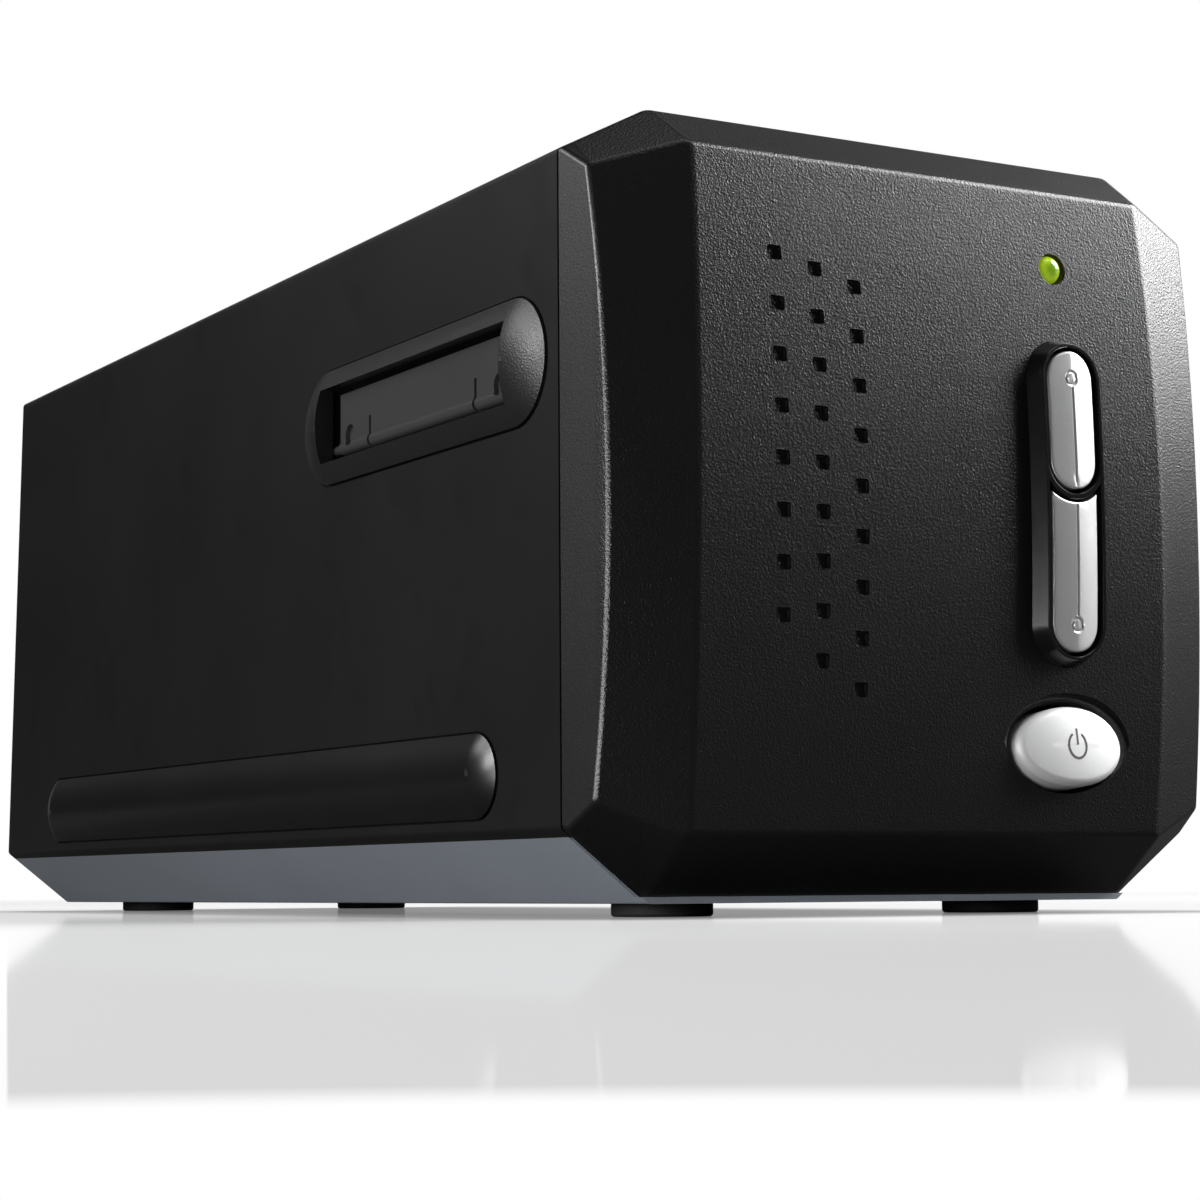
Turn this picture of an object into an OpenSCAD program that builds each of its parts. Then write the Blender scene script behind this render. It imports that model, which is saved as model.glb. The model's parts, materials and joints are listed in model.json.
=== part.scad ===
// Film negative scanner: a desk-top housing with a film slot through its sides,
// a bowed control panel in front and a moving optical carriage inside.
// Millimetres. +X is the object's right seen from the front, the panel faces -Y, +Z is up.
// The origin is under the middle of the whole object, at the level of the feet's soles.

/* [Body] */
// Depth from the scan buttons' crowns to the rear panel
overall_d = 272; // [262:1:290]
// Height from the feet's soles to the roof
overall_h = 119; // [115:1:126]
// Width of the housing between its two side walls
body_w = 114; // [110:1:124]
// Wall thickness of the mouldings
wall = 2.5; // [2:0.1:3]
// Width of the bevel between roof and side wall
roof_cut_w = 13.8; // [10:0.1:16]
// Drop of the bevel between roof and side wall
roof_cut_h = 7.2; // [5:0.1:9]
// Width of the bevel between floor and side wall
base_cut_w = 13.8; // [12:0.1:15]
// Rise of the bevel between floor and side wall
base_cut_h = 10.8; // [10:0.1:12]
// Radius along the housing's long edges
edge_round = 1; // [0.5:0.1:1.6]
// Height above the soles at which the dark cover ends on the base tray
cover_edge_z = 11.6; // [11:0.1:12.4]
// Forward lean of the rear over the housing's height
rear_lean = 6; // [0:0.5:8]
// Width of the shadow line behind the front panel
seam_groove = 0.5; // [0.3:0.1:0.8]

/* [Base] */
// Diameter of a foot
foot_d = 15.5; // [12:0.1:17]
// Height of a foot
foot_h = 2; // [1.5:0.1:2.5]
// Sideways place of the front feet
front_foot_x = 31; // [24:0.5:33]
// Sideways place of the rear feet
rear_foot_x = 26; // [20:0.5:33]
// Distance of the front feet behind the panel's foremost line
front_foot_d = 31; // [26:0.5:40]
// Distance of the rear feet ahead of the rear panel
rear_foot_inset = 12; // [10:0.5:30]
// Height of the tray's lip that shows under the front panel
lip_h = 1; // [0.8:0.1:1.5]

/* [Front panel] */
// Depth of the panel from its foremost line to the seam
panel_d = 15; // [14:0.5:18]
// Half width of the bowed face
face_half_w = 42.1; // [38:0.1:44]
// Angle by which the face narrows towards the top on each side
face_taper = 0.8; // [0:0.1:1.5]
// Height of the face's lower edge
face_low_z = 12; // [11:0.5:14]
// Distance of the face's upper edge under the roof
face_drop = 7; // [5:0.5:9]
// How far the face bows forward between its upper and lower edges
face_bow = 3.4; // [2.5:0.1:4]
// Angle of the panel's flanks behind the face
flank_angle = 23.5; // [20:0.5:27]
// Depth at which the upper slope of the panel reaches the roof
brow_d = 13; // [12:0.5:13.5]
// Depth at which the lower slope of the panel reaches the lip
chin_d = 14; // [13:0.5:14.5]
// Narrowing of the side strip from the seam to its front edge
strip_taper = 1.4; // [0.8:0.1:2]
// Depth of the side strip's front corners
strip_d = 9; // [8:0.5:10]
// Drop of the side strip's upper corner under the roof bevel
strip_top_drop = 3.6; // [3:0.1:5]
// Rise of the side strip's lower corner over the base bevel
strip_low_rise = 3.2; // [2.5:0.1:5]
// Depth of the lap that enters the cover
lap_d = 4; // [3:0.5:6]
// Thickness of the lap
lap_t = 1.5; // [1.2:0.1:2]
// Side of a square dimple across the panel
dimple_w = 2.4; // [2:0.1:3]
// Height of a square dimple
dimple_h = 2.2; // [2:0.1:3]
// Depth of a square dimple
dimple_deep = 1.2; // [0.6:0.1:1.5]

/* [Controls] */
// Distance of the controls' shared centre line to the right of the middle
control_x = 23.3; // [18:0.1:26]
// Width of the ring around the two scan buttons, where it meets the face
ring_w = 12.7; // [12:0.1:15]
// Distance of the ring's lower end above the face's lower edge
ring_rise = 25.8; // [24:0.1:28]
// Distance of its upper end under the face's upper edge
ring_drop = 24.4; // [20:0.1:26]
// Height of the ring's rim above the face
ring_raise = 2.7; // [2:0.1:2.8]
// Width of the flat rim between the ring's slope and its hole
rim_w = 0.3; // [0.2:0.1:0.6]
// Overlap of the ring on the face outside its neck
ring_lip = 0.8; // [0.5:0.1:1]
// Width of a scan button
scan_w = 7.3; // [7:0.1:7.6]
// Gap around a scan button
scan_gap = 0.8; // [0.5:0.1:0.9]
// Width of the arched bar between the scan buttons
bar_w = 0.9; // [0.8:0.1:1.2]
// Length of the upper scan button
upper_scan_l = 20.4; // [17:0.1:25]
// Height of the buttons' crowns above the face
scan_proud = 2.9; // [2.8:0.1:3.4]
// Height of a scan button's edges above the face
scan_edge = 2.3; // [2:0.1:2.4]
// Distance of the thumb mark from a button's outer end
mark_inset = 4.2; // [3.5:0.1:5]
// Outer diameter of the thumb mark's groove
mark_d = 2.6; // [2:0.1:3.2]
// Depth of that groove under the button's crown
mark_deep = 0.4; // [0.3:0.1:0.5]
// Travel of every button
press = 0.6; // [0.4:0.05:0.6]
// Distance of the status light under the face's upper edge
light_drop = 12.4; // [10:0.1:14]
// Diameter of the status light
light_d = 4.6; // [4:0.1:5]
// Width of the power button
power_w = 20.8; // [19:0.1:22]
// Height of the power button
power_h = 12.3; // [11:0.1:13]
// Height of the power button's centre
power_z = 25.2; // [24:0.1:26]
// Height of the power button's crown above the face
power_proud = 2.2; // [1.5:0.1:2.4]
// Fall of the power button's dome at its two ends
power_dome = 1.7; // [1:0.1:2]
// Gap around the power button
power_gap = 0.5; // [0.3:0.1:0.6]
// Extra width of the well around the power button
well_rim = 1.6; // [1:0.1:2]
// Depth of that well
well_deep = 1.2; // [0.8:0.1:1.4]

/* [Film slot] */
// Distance of the slot's centre behind the panel's foremost line
slot_d = 62; // [58:0.5:70]
// Height of the slot's centre
slot_z = 82.2; // [80:0.1:84]
// Length of the slot
slot_l = 66.9; // [62:0.1:68]
// Height of the slot
slot_h = 12.6; // [12:0.1:13]
// Length of the domed surround
surround_l = 86.3; // [84:0.1:90]
// Width of the domed surround
surround_w = 19.4; // [19:0.1:21]
// Height of the surround's crown above the side wall
surround_crown = 3; // [2.5:0.1:3.4]
// Height of its edge above the side wall
surround_edge = 0.4; // [0.2:0.1:0.6]
// Depth to which it is let into the side wall
inlay = 0.8; // [0.6:0.1:1]
// Gap around an inlaid piece
inlay_gap = 0.35; // [0.2:0.05:0.5]
// Wall of the surround's neck
neck_wall = 1.4; // [1.2:0.1:1.6]
// Depth of the neck behind the cover's wall
neck_in = 2; // [1.5:0.1:2.5]
// Length of the dust flap
flap_l = 61.6; // [58:0.1:62]
// Height of the dust flap
flap_h = 10.3; // [9.8:0.1:10.4]
// Thickness of the dust flap
flap_t = 1.6; // [1.4:0.1:1.8]
// Distance of the flap's outer face inside the side wall's face
flap_set = 0.6; // [0.5:0.1:0.8]
// Radius of the flap's barrel
barrel_r = 1.2; // [1.1:0.05:1.3]
// Radius of the flap's pivot pins
pivot_r = 0.8; // [0.7:0.05:0.9]
// Radial clearance of a running pin
run_gap = 0.05; // [0.03:0.01:0.08]
// Distance of a slit from the flap's middle
slit_x = 19.1; // [17:0.1:21]
// Length of a slit
slit_l = 5.2; // [4:0.1:6]
// Width of a slit
slit_w = 0.8; // [0.6:0.1:1]
// Distance of a finger hole from the flap's middle
flap_hole_x = 27; // [25:0.1:27.5]
// Diameter of a finger hole
flap_hole_d = 3.6; // [3:0.1:4]
// Angle by which a flap swings inward
flap_swing = 85; // [70:1:86]

/* [Side grip] */
// Width of the long side grip
grip_w = 12.9; // [11:0.1:13.5]
// Distance of its front end behind the panel's foremost line
grip_front_d = 35; // [30:0.5:42]
// Distance of its rear end ahead of the rear panel
grip_rear_inset = 29.9; // [24:0.1:44]
// Height of its centre line
grip_z = 21.2; // [20.8:0.1:24]
// Height of its crown above the side wall
grip_crown = 2.2; // [1.5:0.1:2.6]
// Height of its edge above the side wall
grip_edge = 0.3; // [0.2:0.1:0.5]

/* [Film path and lamp] */
// Height of the path above the slot's lower edge
path_rise = 3; // [2.8:0.1:3.4]
// Thickness of the lower guide's floor
guide_t = 2.4; // [2:0.1:3]
// Width of the guide's side walls
guide_wall = 2; // [1.6:0.1:2.4]
// Length of the film gate along the film
gate_l = 38; // [36:0.5:42]
// Width of the film gate
gate_w = 26; // [25:0.5:30]
// Clearance ahead of the flap when it lies open in its bay
bay_gap = 1.3; // [0.8:0.1:2]
// Clearance between the lamp housing and the roof
lamp_gap = 3.6; // [3:0.1:8]
// Width of the lamp housing
lamp_w = 64; // [56:1:70]
// Depth of the lamp housing
lamp_d = 52; // [40:1:60]
// Wall of the lamp housing
lamp_wall = 1.6; // [1.2:0.1:2]
// Thickness of the opal diffuser
diffuser_t = 2; // [1.5:0.1:3]
// Thickness of every circuit board
board_t = 1.6; // [1.2:0.1:1.6]

/* [Carriage and drive] */
// Travel of the carriage
scan_travel = 30; // [26:1:34]
// Distance of the carriage's front behind the panel's foremost line
carriage_front_d = 34; // [32:0.5:36]
// Length of the carriage
carriage_l = 132; // [120:1:140]
// Width of the carriage
carriage_w = 60; // [56:1:62]
// Height of the carriage's floor
carriage_z = 30; // [29:0.5:32]
// Height of the carriage's body
carriage_h = 30; // [28:0.5:32]
// Wall of the carriage
carriage_wall = 2; // [1.6:0.1:2.5]
// Radius of the guide rods
rod_r = 3; // [2.5:0.1:3.5]
// Sideways place of the guide rods
rod_x = 22; // [20:0.5:23]
// Height of the guide rods
rod_z = 24; // [23.5:0.1:24.5]
// Distance of the lens behind the carriage's front
lens_d = 60.7; // [56:0.1:64]
// Radius of the lens barrel
lens_r = 9; // [7:0.1:10]
// Length of the lens barrel
lens_l = 28; // [24:1:32]
// Rolling radius of the drive pulleys
pulley_r = 6; // [5:0.1:6.5]
// Sideways place of the drive pulleys
pulley_x = 41; // [40.5:0.1:41.5]
// Distance of the idler pulley behind the panel's foremost line
idler_d = 50; // [46:1:60]
// Distance of the motor ahead of the rear panel
motor_inset = 47.6; // [45:0.1:52]
// Radius of the motor
motor_r = 12.5; // [11:0.1:12.5]
// Length of the motor
motor_h = 16; // [12:0.5:20]
// Width of the drive belt
belt_w = 6; // [5:0.5:6]
// Thickness of the drive belt
belt_t = 1.2; // [0.8:0.1:1.4]
// Gap between pieces that pass each other
slide_gap = 0.3; // [0.2:0.05:0.4]

/* [Sockets] */
// Height of the main circuit board
main_board_z = 70; // [68:0.5:72]
// Width of the data socket
data_w = 12; // [11:0.1:13]
// Height of the data socket
data_h = 11; // [10:0.1:12]
// Sideways place of the data socket
data_x = -12; // [-20:0.5:-8]
// Width of the power socket
jack_w = 9; // [8:0.1:10]
// Height of the power socket
jack_h = 11; // [10:0.1:12]
// Sideways place of the power socket
jack_x = 12; // [8:0.5:20]
// Length of both sockets
socket_l = 15; // [12:0.5:17]

/* [Hidden] */
$fn = 64;
// Sides of the very large cylinders that bow the panel
bow_fn = 720;
// Room that a cutting solid has past what it cuts
past = 5;
// Side of a block that cuts off everything beyond a plane
far = 400;
// Steps of an arc at a long edge, and of an ellipse
arc_steps = 4;
oval_steps = 48;

half_w = body_w / 2;
front_y = -overall_d / 2 + scan_proud;
rear_y = overall_d / 2;
seam_y = front_y + panel_d;
base_z = foot_h;
lip_z = base_z + lip_h;
floor_z = base_z + wall;
roof_z = overall_h;
side_low_z = base_z + base_cut_h;
side_top_z = roof_z - roof_cut_h;

// The rear leans: its plane passes this far back at the level of the base
rear_rate = rear_lean / (side_top_z - side_low_z);
rear_proud = 1.1;
rear_base_y = rear_y - rear_proud + rear_rate * wall;
function rear_at(z) = rear_base_y - rear_rate * (z - base_z);
function back(d) = front_y + d;

function slant(w, h) = sqrt(w * w + h * h);
function unit(v) = v / norm(v);
function turned(v, a) = [v.x * cos(a) - v.y * sin(a), v.x * sin(a) + v.y * cos(a)];

// Arc that rounds corner b between a and c, for outlines that run anticlockwise
function corner_arc(a, b, c, r) =
  let (u = unit(a - b), w = unit(c - b), half = acos(u * w) / 2,
       centre = b + unit(u + w) * r / sin(half), start = b + u * r / tan(half) - centre)
  [for (i = [0:arc_steps]) centre + turned(start, (180 - 2 * half) * i / arc_steps)];
function rounded(pts, r) =
  [for (i = [0:len(pts) - 1])
    each corner_arc(pts[(i + len(pts) - 1) % len(pts)], pts[i], pts[(i + 1) % len(pts)], r)];

// Eight-sided section of the housing in X and Z, drawn in by t on every side
function section(t) =
  let (roof_s = slant(roof_cut_w, roof_cut_h), base_s = slant(base_cut_w, base_cut_h),
       side = half_w - t,
       roof_x = half_w - roof_cut_w - t * (roof_s - roof_cut_w) / roof_cut_h,
       base_x = half_w - base_cut_w - t * (base_s - base_cut_w) / base_cut_h,
       high = side_top_z - t * (roof_s - roof_cut_h) / roof_cut_w,
       low = side_low_z + t * (base_s - base_cut_h) / base_cut_w)
  [[base_x, base_z + t], [side, low], [side, high], [roof_x, roof_z - t],
   [-roof_x, roof_z - t], [-side, high], [-side, low], [-base_x, base_z + t]];

module along_x(from, to) {
  translate([from, 0, 0]) rotate([90, 0, 90]) linear_extrude(to - from) children();
}
module along_y(from, to) {
  translate([0, to, 0]) rotate([90, 0, 0]) linear_extrude(to - from) children();
}
module along_z(from, to) {
  translate([0, 0, from]) linear_extrude(to - from) children();
}
module block(low, high) {
  translate(low) cube(high - low);
}
module right_and_left() {
  children();
  mirror([1, 0, 0]) children();
}

// Upright oblong with round ends, in X and Z
module oblong(w, low, top) {
  translate([-w / 2, low + w / 2]) square([w, top - low - w]);
  translate([0, low + w / 2]) circle(d = w);
  translate([0, top - w / 2]) circle(d = w);
}
function oval(w, h) =
  [for (i = [0:oval_steps - 1]) let (a = 360 * i / oval_steps) [cos(a) * w / 2, sin(a) * h / 2]];

// Everything behind the leaning rear plane is left out, and so is what lies ahead of from
module housing_length(from, past_rear) {
  along_x(-half_w - past, half_w + past)
    polygon([[from, 0], [rear_at(0) + past_rear, 0],
             [rear_at(roof_z + past) + past_rear, roof_z + past], [from, roof_z + past]]);
}

// ---------- Front panel ----------
face_top_z = roof_z - face_drop;
light_z = face_top_z - light_drop;
ring_low_z = face_low_z + ring_rise;
ring_top_z = face_top_z - ring_drop;
scan_low_z = ring_low_z + (ring_w - scan_w) / 2;
scan_top_z = ring_top_z - (ring_w - scan_w) / 2;
scan_split_z = scan_top_z - upper_scan_l;
face_mid_z = (face_top_z + face_low_z) / 2;
face_half_h = (face_top_z - face_low_z) / 2;
bow_r = (face_half_h * face_half_h + face_bow * face_bow) / (2 * face_bow);
function bow_at(z) = bow_r - sqrt(bow_r * bow_r - (z - face_mid_z) * (z - face_mid_z));
face_top_half_w = face_half_w - face_half_h * tan(face_taper);
face_low_half_w = face_half_w + face_half_h * tan(face_taper);
strip_x = half_w - strip_taper;

// Drum whose front is the bowed face, and the drums that bow the two flanks alike
module face_drum(t) {
  translate([0, front_y + bow_r, face_mid_z]) rotate([0, 90, 0])
    cylinder(r = bow_r - t, h = 2 * body_w, center = true, $fn = bow_fn);
}
module flank_drum(t) {
  translate([face_half_w, front_y, face_mid_z])
    rotate([0, -face_taper, 0]) rotate([0, 0, flank_angle])
      translate([0, bow_r, 0]) rotate([0, 90, 0])
        cylinder(r = bow_r - t, h = 4 * body_w, center = true, $fn = bow_fn);
}
// Takes off all that lies beyond a plane through point, drawn in by t
module shave(point, normal, t) {
  n = unit(normal);
  translate(point - t * n) rotate([0, acos(n.z), atan2(n.y, n.x)])
    translate([-far / 2, -far / 2, 0]) cube(far);
}
module corner_facets(t) {
  brow = [half_w - roof_cut_w, back(brow_d), roof_z];
  face_top = [face_top_half_w, back(bow_at(face_top_z)), face_top_z];
  strip_top = [strip_x, back(strip_d), side_top_z - strip_top_drop];
  shave(brow, cross(face_top - brow, strip_top - brow), t);
  chin = [half_w - base_cut_w, back(chin_d), lip_z];
  face_low = [face_low_half_w, back(bow_at(face_low_z)), face_low_z];
  strip_low = [strip_x, back(strip_d), side_low_z + strip_low_rise];
  shave(chin, cross(strip_low - chin, face_low - chin), t);
  shave([half_w, seam_y, 0], [panel_d - strip_d, -strip_taper, 0], t);
}
// The panel's outer form, drawn in by t, from well ahead of the face to rear
module panel_form(t, rear) {
  difference() {
    intersection() {
      along_y(front_y - past, rear) polygon(t == 0 ? rounded(section(0), edge_round) : section(t));
      face_drum(t);
      flank_drum(t);
      mirror([1, 0, 0]) flank_drum(t);
    }
    right_and_left() corner_facets(t);
    shave([0, back(brow_d), roof_z], [0, -face_drop, brow_d - bow_at(face_top_z)], t);
    shave([0, back(chin_d), lip_z], [0, lip_z - face_low_z, bow_at(face_low_z) - chin_d], t);
    shave([0, 0, lip_z], [0, 0, -1], t);
  }
}
// Columns of dimples: place across, drop under the face's upper edge, length and number
dimple_cols = [[-28.4, 15.3, 53.4, 8], [-21.5, 17.1, 58, 9], [-14.6, 19.2, 59.9, 9]];
module dimples() {
  for (col = dimple_cols) {
    for (i = [0:col[3] - 1]) {
      z = face_top_z - col[1] - col[2] * i / (col[3] - 1);
      y = back(bow_at(z)) + dimple_deep;
      block([col[0] - dimple_w / 2, y - past, z - dimple_h / 2],
            [col[0] + dimple_w / 2, y, z + dimple_h / 2]);
    }
  }
}
// Angle of the face's bow at a height
function tilt_at(z) = asin((z - face_mid_z) / bow_r);
// Puts the origin on the face at a height, with Z straight out of it
module face_place(z) {
  translate([control_x, back(bow_at(z)), z]) rotate([90 + tilt_at(z), 0, 0]) children();
}
module power_place() {
  face_place(power_z) children();
}
// Turns a profile, drawn as distance from the bow's axis and place across, up the face
module along_bow(from_z, to_z) {
  translate([control_x, front_y + bow_r, face_mid_z])
    rotate([-90, 0, 0]) rotate([0, 90, 0]) rotate([0, 0, -tilt_at(to_z)])
      rotate_extrude(angle = tilt_at(to_z) - tilt_at(from_z), $fn = bow_fn) children();
}
// Circuit board of the buttons, its switches and the bosses that carry it
button_board_d = 12.5;
button_board_w = 28;
button_board_inset = 5;
button_board_low_z = face_low_z + button_board_inset;
button_board_top_z = face_top_z - button_board_inset;
switch_side = 6;
switch_deep = 3.4;
plunger_r = 1.6;
plunger_out = 0.7;
boss_r = 2.2;
boss_inset = 2.6;
plunger_y = back(button_board_d - switch_deep - plunger_out);
stem_end_y = plunger_y - press - run_gap * 2;
stem_r = 1.5;
neck_deep = 4.2;
ring_neck_y = back(neck_deep);
neck_w = ring_w - 2 * ring_lip;
ring_hole_w = scan_w + 2 * scan_gap;

module button_bosses() {
  for (x = [-1, 1], z = [button_board_low_z + boss_inset, button_board_top_z - boss_inset])
    translate([control_x + x * (button_board_w / 2 - boss_inset), back(button_board_d), z])
      rotate([90, 0, 0]) cylinder(r = boss_r, h = button_board_d);
}
module front_panel() color("#242424") {
  difference() {
    panel_form(0, seam_y);
    panel_form(wall, seam_y + past);
    translate([control_x, 0, 0]) along_y(front_y - past, seam_y)
      oblong(neck_w, ring_low_z + ring_lip, ring_top_z - ring_lip);
    translate([control_x, seam_y, light_z]) rotate([90, 0, 0])
      cylinder(d = light_d + 2 * run_gap, h = panel_d + past);
    power_place() translate([0, 0, -panel_d]) linear_extrude(2 * panel_d)
      polygon(oval(power_w + 2 * power_gap, power_h + 2 * power_gap));
    power_place() translate([0, 0, -well_deep])
      linear_extrude(2 * well_deep, scale = 1 + 2 * well_rim / power_h)
        polygon(oval(power_w + 2 * power_gap, power_h + 2 * power_gap));
    dimples();
  }
  // Lap that enters the cover
  intersection() {
    difference() {
      along_y(seam_y - lap_d, seam_y + lap_d) polygon(section(wall + run_gap));
      along_y(seam_y - lap_d - past, seam_y + lap_d + past) polygon(section(wall + run_gap + lap_t));
      block([-body_w, seam_y - lap_d - past, 0], [body_w, seam_y + lap_d + past, floor_z + lap_t]);
    }
    union() {
      panel_form(wall / 2, seam_y);
      block([-body_w, seam_y, 0], [body_w, seam_y + lap_d, roof_z]);
    }
  }
  intersection() {
    button_bosses();
    panel_form(wall / 2, seam_y);
  }
}
module ring_holes() {
  along_y(front_y - past, ring_neck_y + past) {
    translate([control_x, 0]) difference() {
      oblong(ring_hole_w, ring_low_z + (ring_w - ring_hole_w) / 2,
             ring_top_z - (ring_w - ring_hole_w) / 2);
      difference() {
        translate([0, upper_end_z]) circle(r = bar_inner_r + bar_w);
        translate([0, upper_end_z]) circle(r = bar_inner_r);
        translate([-ring_w, upper_end_z]) square([2 * ring_w, ring_w]);
      }
    }
  }
}
upper_end_z = scan_split_z + scan_w / 2;
bar_inner_r = scan_w / 2 + scan_gap;

// The ring's slope: a straight length with half a cone at each end
rim_half = ring_hole_w / 2 + rim_w;
slope_out = ring_w / 2 - rim_half;
slope_deep = neck_deep + past;
foot_half = ring_w / 2 + slope_out * slope_deep / ring_raise;
ring_end_zs = [ring_low_z + ring_w / 2, ring_top_z - ring_w / 2];
module slope_half() {
  polygon([[0, -slope_deep], [foot_half, -slope_deep],
           [rim_half - slope_out, 2 * ring_raise], [0, 2 * ring_raise]]);
}
module ring_slope() {
  translate([control_x, front_y, ring_end_zs[0]]) linear_extrude(ring_end_zs[1] - ring_end_zs[0])
    right_and_left() mirror([0, 1]) slope_half();
  for (i = [0, 1])
    translate([control_x, front_y, ring_end_zs[i]]) rotate([90, 0, 0])
      rotate([0, 0, 180 * (i + 1)]) rotate_extrude(angle = 180) slope_half();
}
module button_ring() color("#1c1c1e") {
  difference() {
    union() {
      difference() {
        intersection() {
          ring_slope();
          face_drum(-ring_raise);
        }
        face_drum(0);
      }
      intersection() {
        translate([control_x, 0, 0]) along_y(front_y - past, ring_neck_y)
          oblong(neck_w, ring_low_z + ring_lip, ring_top_z - ring_lip);
        face_drum(-rim_w);
      }
    }
    ring_holes();
  }
}
module status_light() color("#a6c83c") {
  translate([control_x, back(button_board_d), light_z]) rotate([90, 0, 0])
    cylinder(d = light_d, h = button_board_d - bow_at(light_z) + run_gap * 4);
}

// ---------- Scan buttons ----------
// Crown across the button, turned about the axis of the bow
crown_fall = scan_proud - scan_edge;
crown_r = (scan_w * scan_w / 4 + crown_fall * crown_fall) / (2 * crown_fall);
module crown() {
  along_bow(ring_low_z, ring_top_z) translate([bow_r + scan_proud - crown_r, 0])
    circle(r = crown_r, $fn = 180);
}
flange_y = ring_neck_y + run_gap * 3;
flange_t = 1;
module scan_stem(z, low, top) {
  block([control_x - scan_w / 2 - scan_gap * 2, flange_y, low],
        [control_x + scan_w / 2 + scan_gap * 2, flange_y + flange_t, top]);
  translate([control_x, stem_end_y, z]) rotate([90, 0, 0])
    cylinder(r = stem_r, h = stem_end_y - flange_y);
}
module thumb_mark(z) {
  translate([control_x, front_y + bow_at(z) - scan_proud + mark_deep, z]) rotate([90, 0, 0]) difference() {
    cylinder(d = mark_d, h = past);
    cylinder(d = mark_d / 2, h = past);
  }
}
module upper_scan_button() color("#c9cacc") {
  difference() {
    intersection() {
      translate([control_x, 0, 0]) along_y(front_y - past, flange_y + flange_t)
        oblong(scan_w, scan_split_z, scan_top_z);
      crown();
    }
    thumb_mark(scan_top_z - mark_inset);
  }
  scan_stem((scan_split_z + scan_top_z) / 2, upper_end_z, scan_top_z - scan_w / 2);
}
module lower_scan_button() color("#c9cacc") {
  lower_tip_z = upper_end_z - bar_inner_r - bar_w - scan_gap;
  difference() {
    intersection() {
      translate([control_x, 0, 0]) along_y(front_y - past, flange_y + flange_t)
        difference() {
          oblong(scan_w, scan_low_z, upper_end_z + scan_w);
          translate([0, upper_end_z]) circle(r = bar_inner_r + bar_w + scan_gap);
          translate([-scan_w, upper_end_z]) square([2 * scan_w, 2 * scan_w]);
        }
      crown();
    }
    thumb_mark(scan_low_z + mark_inset);
  }
  scan_stem((scan_low_z + lower_tip_z) / 2, scan_low_z + scan_w / 2, lower_tip_z - scan_gap);
}

// ---------- Power button ----------
dome_r = (power_w * power_w / 4 + power_dome * power_dome) / (2 * power_dome);
power_flange_d = 5.6;
module power_button() color("#c9cacc") {
  intersection() {
    power_place() translate([0, 0, -panel_d]) linear_extrude(2 * panel_d)
      polygon(oval(power_w, power_h));
    power_place() translate([0, 0, power_proud - dome_r]) sphere(r = dome_r, $fn = 180);
    block([-half_w, front_y - past, base_z], [half_w, back(power_flange_d + flange_t), roof_z]);
  }
  translate([control_x, back(power_flange_d + flange_t), power_z]) rotate([90, 0, 0])
    linear_extrude(flange_t) polygon(oval(power_w + 4 * power_gap, power_h + 2 * power_gap));
  translate([control_x, stem_end_y, power_z]) rotate([90, 0, 0])
    cylinder(r = stem_r, h = stem_end_y - back(power_flange_d));
}

// ---------- Button board ----------
switch_zs = [(scan_split_z + scan_top_z) / 2,
             (scan_low_z + upper_end_z - bar_inner_r - bar_w - scan_gap) / 2, power_z];
module button_board() color("#2f5d3a") {
  block([control_x - button_board_w / 2, back(button_board_d), button_board_low_z],
        [control_x + button_board_w / 2, back(button_board_d) + board_t, button_board_top_z]);
}
module push_switches() color("#3a3a3a") {
  for (z = switch_zs) {
    block([control_x - switch_side / 2, back(button_board_d - switch_deep), z - switch_side / 2],
          [control_x + switch_side / 2, back(button_board_d), z + switch_side / 2]);
    translate([control_x, back(button_board_d - switch_deep), z]) rotate([90, 0, 0])
      cylinder(r = plunger_r, h = plunger_out);
  }
}

// ---------- Cover, tray and rear panel ----------
// Domed oblong that lies along Y on the side wall, its crown towards +X
module domed_pad(length, width, crown, edge, sunk, at_y, at_z) {
  fall = crown - edge;
  r = (width * width / 4 + fall * fall) / (2 * fall);
  straight = length - width;
  translate([half_w, at_y, at_z]) rotate([0, 90, 0]) {
    intersection() {
      translate([0, 0, crown - r]) rotate([90, 0, 0])
        cylinder(r = r, h = straight, center = true, $fn = 180);
      translate([-width / 2, -straight / 2, -sunk]) cube([width, straight, sunk + crown]);
    }
    for (s = [-1, 1]) translate([0, s * straight / 2, 0]) intersection() {
      translate([0, 0, crown - r]) sphere(r = r, $fn = 180);
      translate([0, 0, -sunk]) cylinder(d = width, h = sunk + crown);
    }
  }
}
// Flat pocket in the side wall that such a pad lies in
module pad_pocket(length, width, at_y, at_z) {
  w = width + 2 * inlay_gap;
  straight = length - width;
  translate([half_w - inlay, at_y, at_z]) rotate([0, 90, 0]) {
    translate([-w / 2, -straight / 2, 0]) cube([w, straight, past]);
    for (s = [-1, 1]) translate([0, s * straight / 2, 0]) cylinder(d = w, h = past);
  }
}
slot_y = back(slot_d);
grip_front_y = back(grip_front_d);
grip_l = rear_y - grip_rear_inset - grip_front_y;
grip_y = grip_front_y + grip_l / 2;
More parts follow.
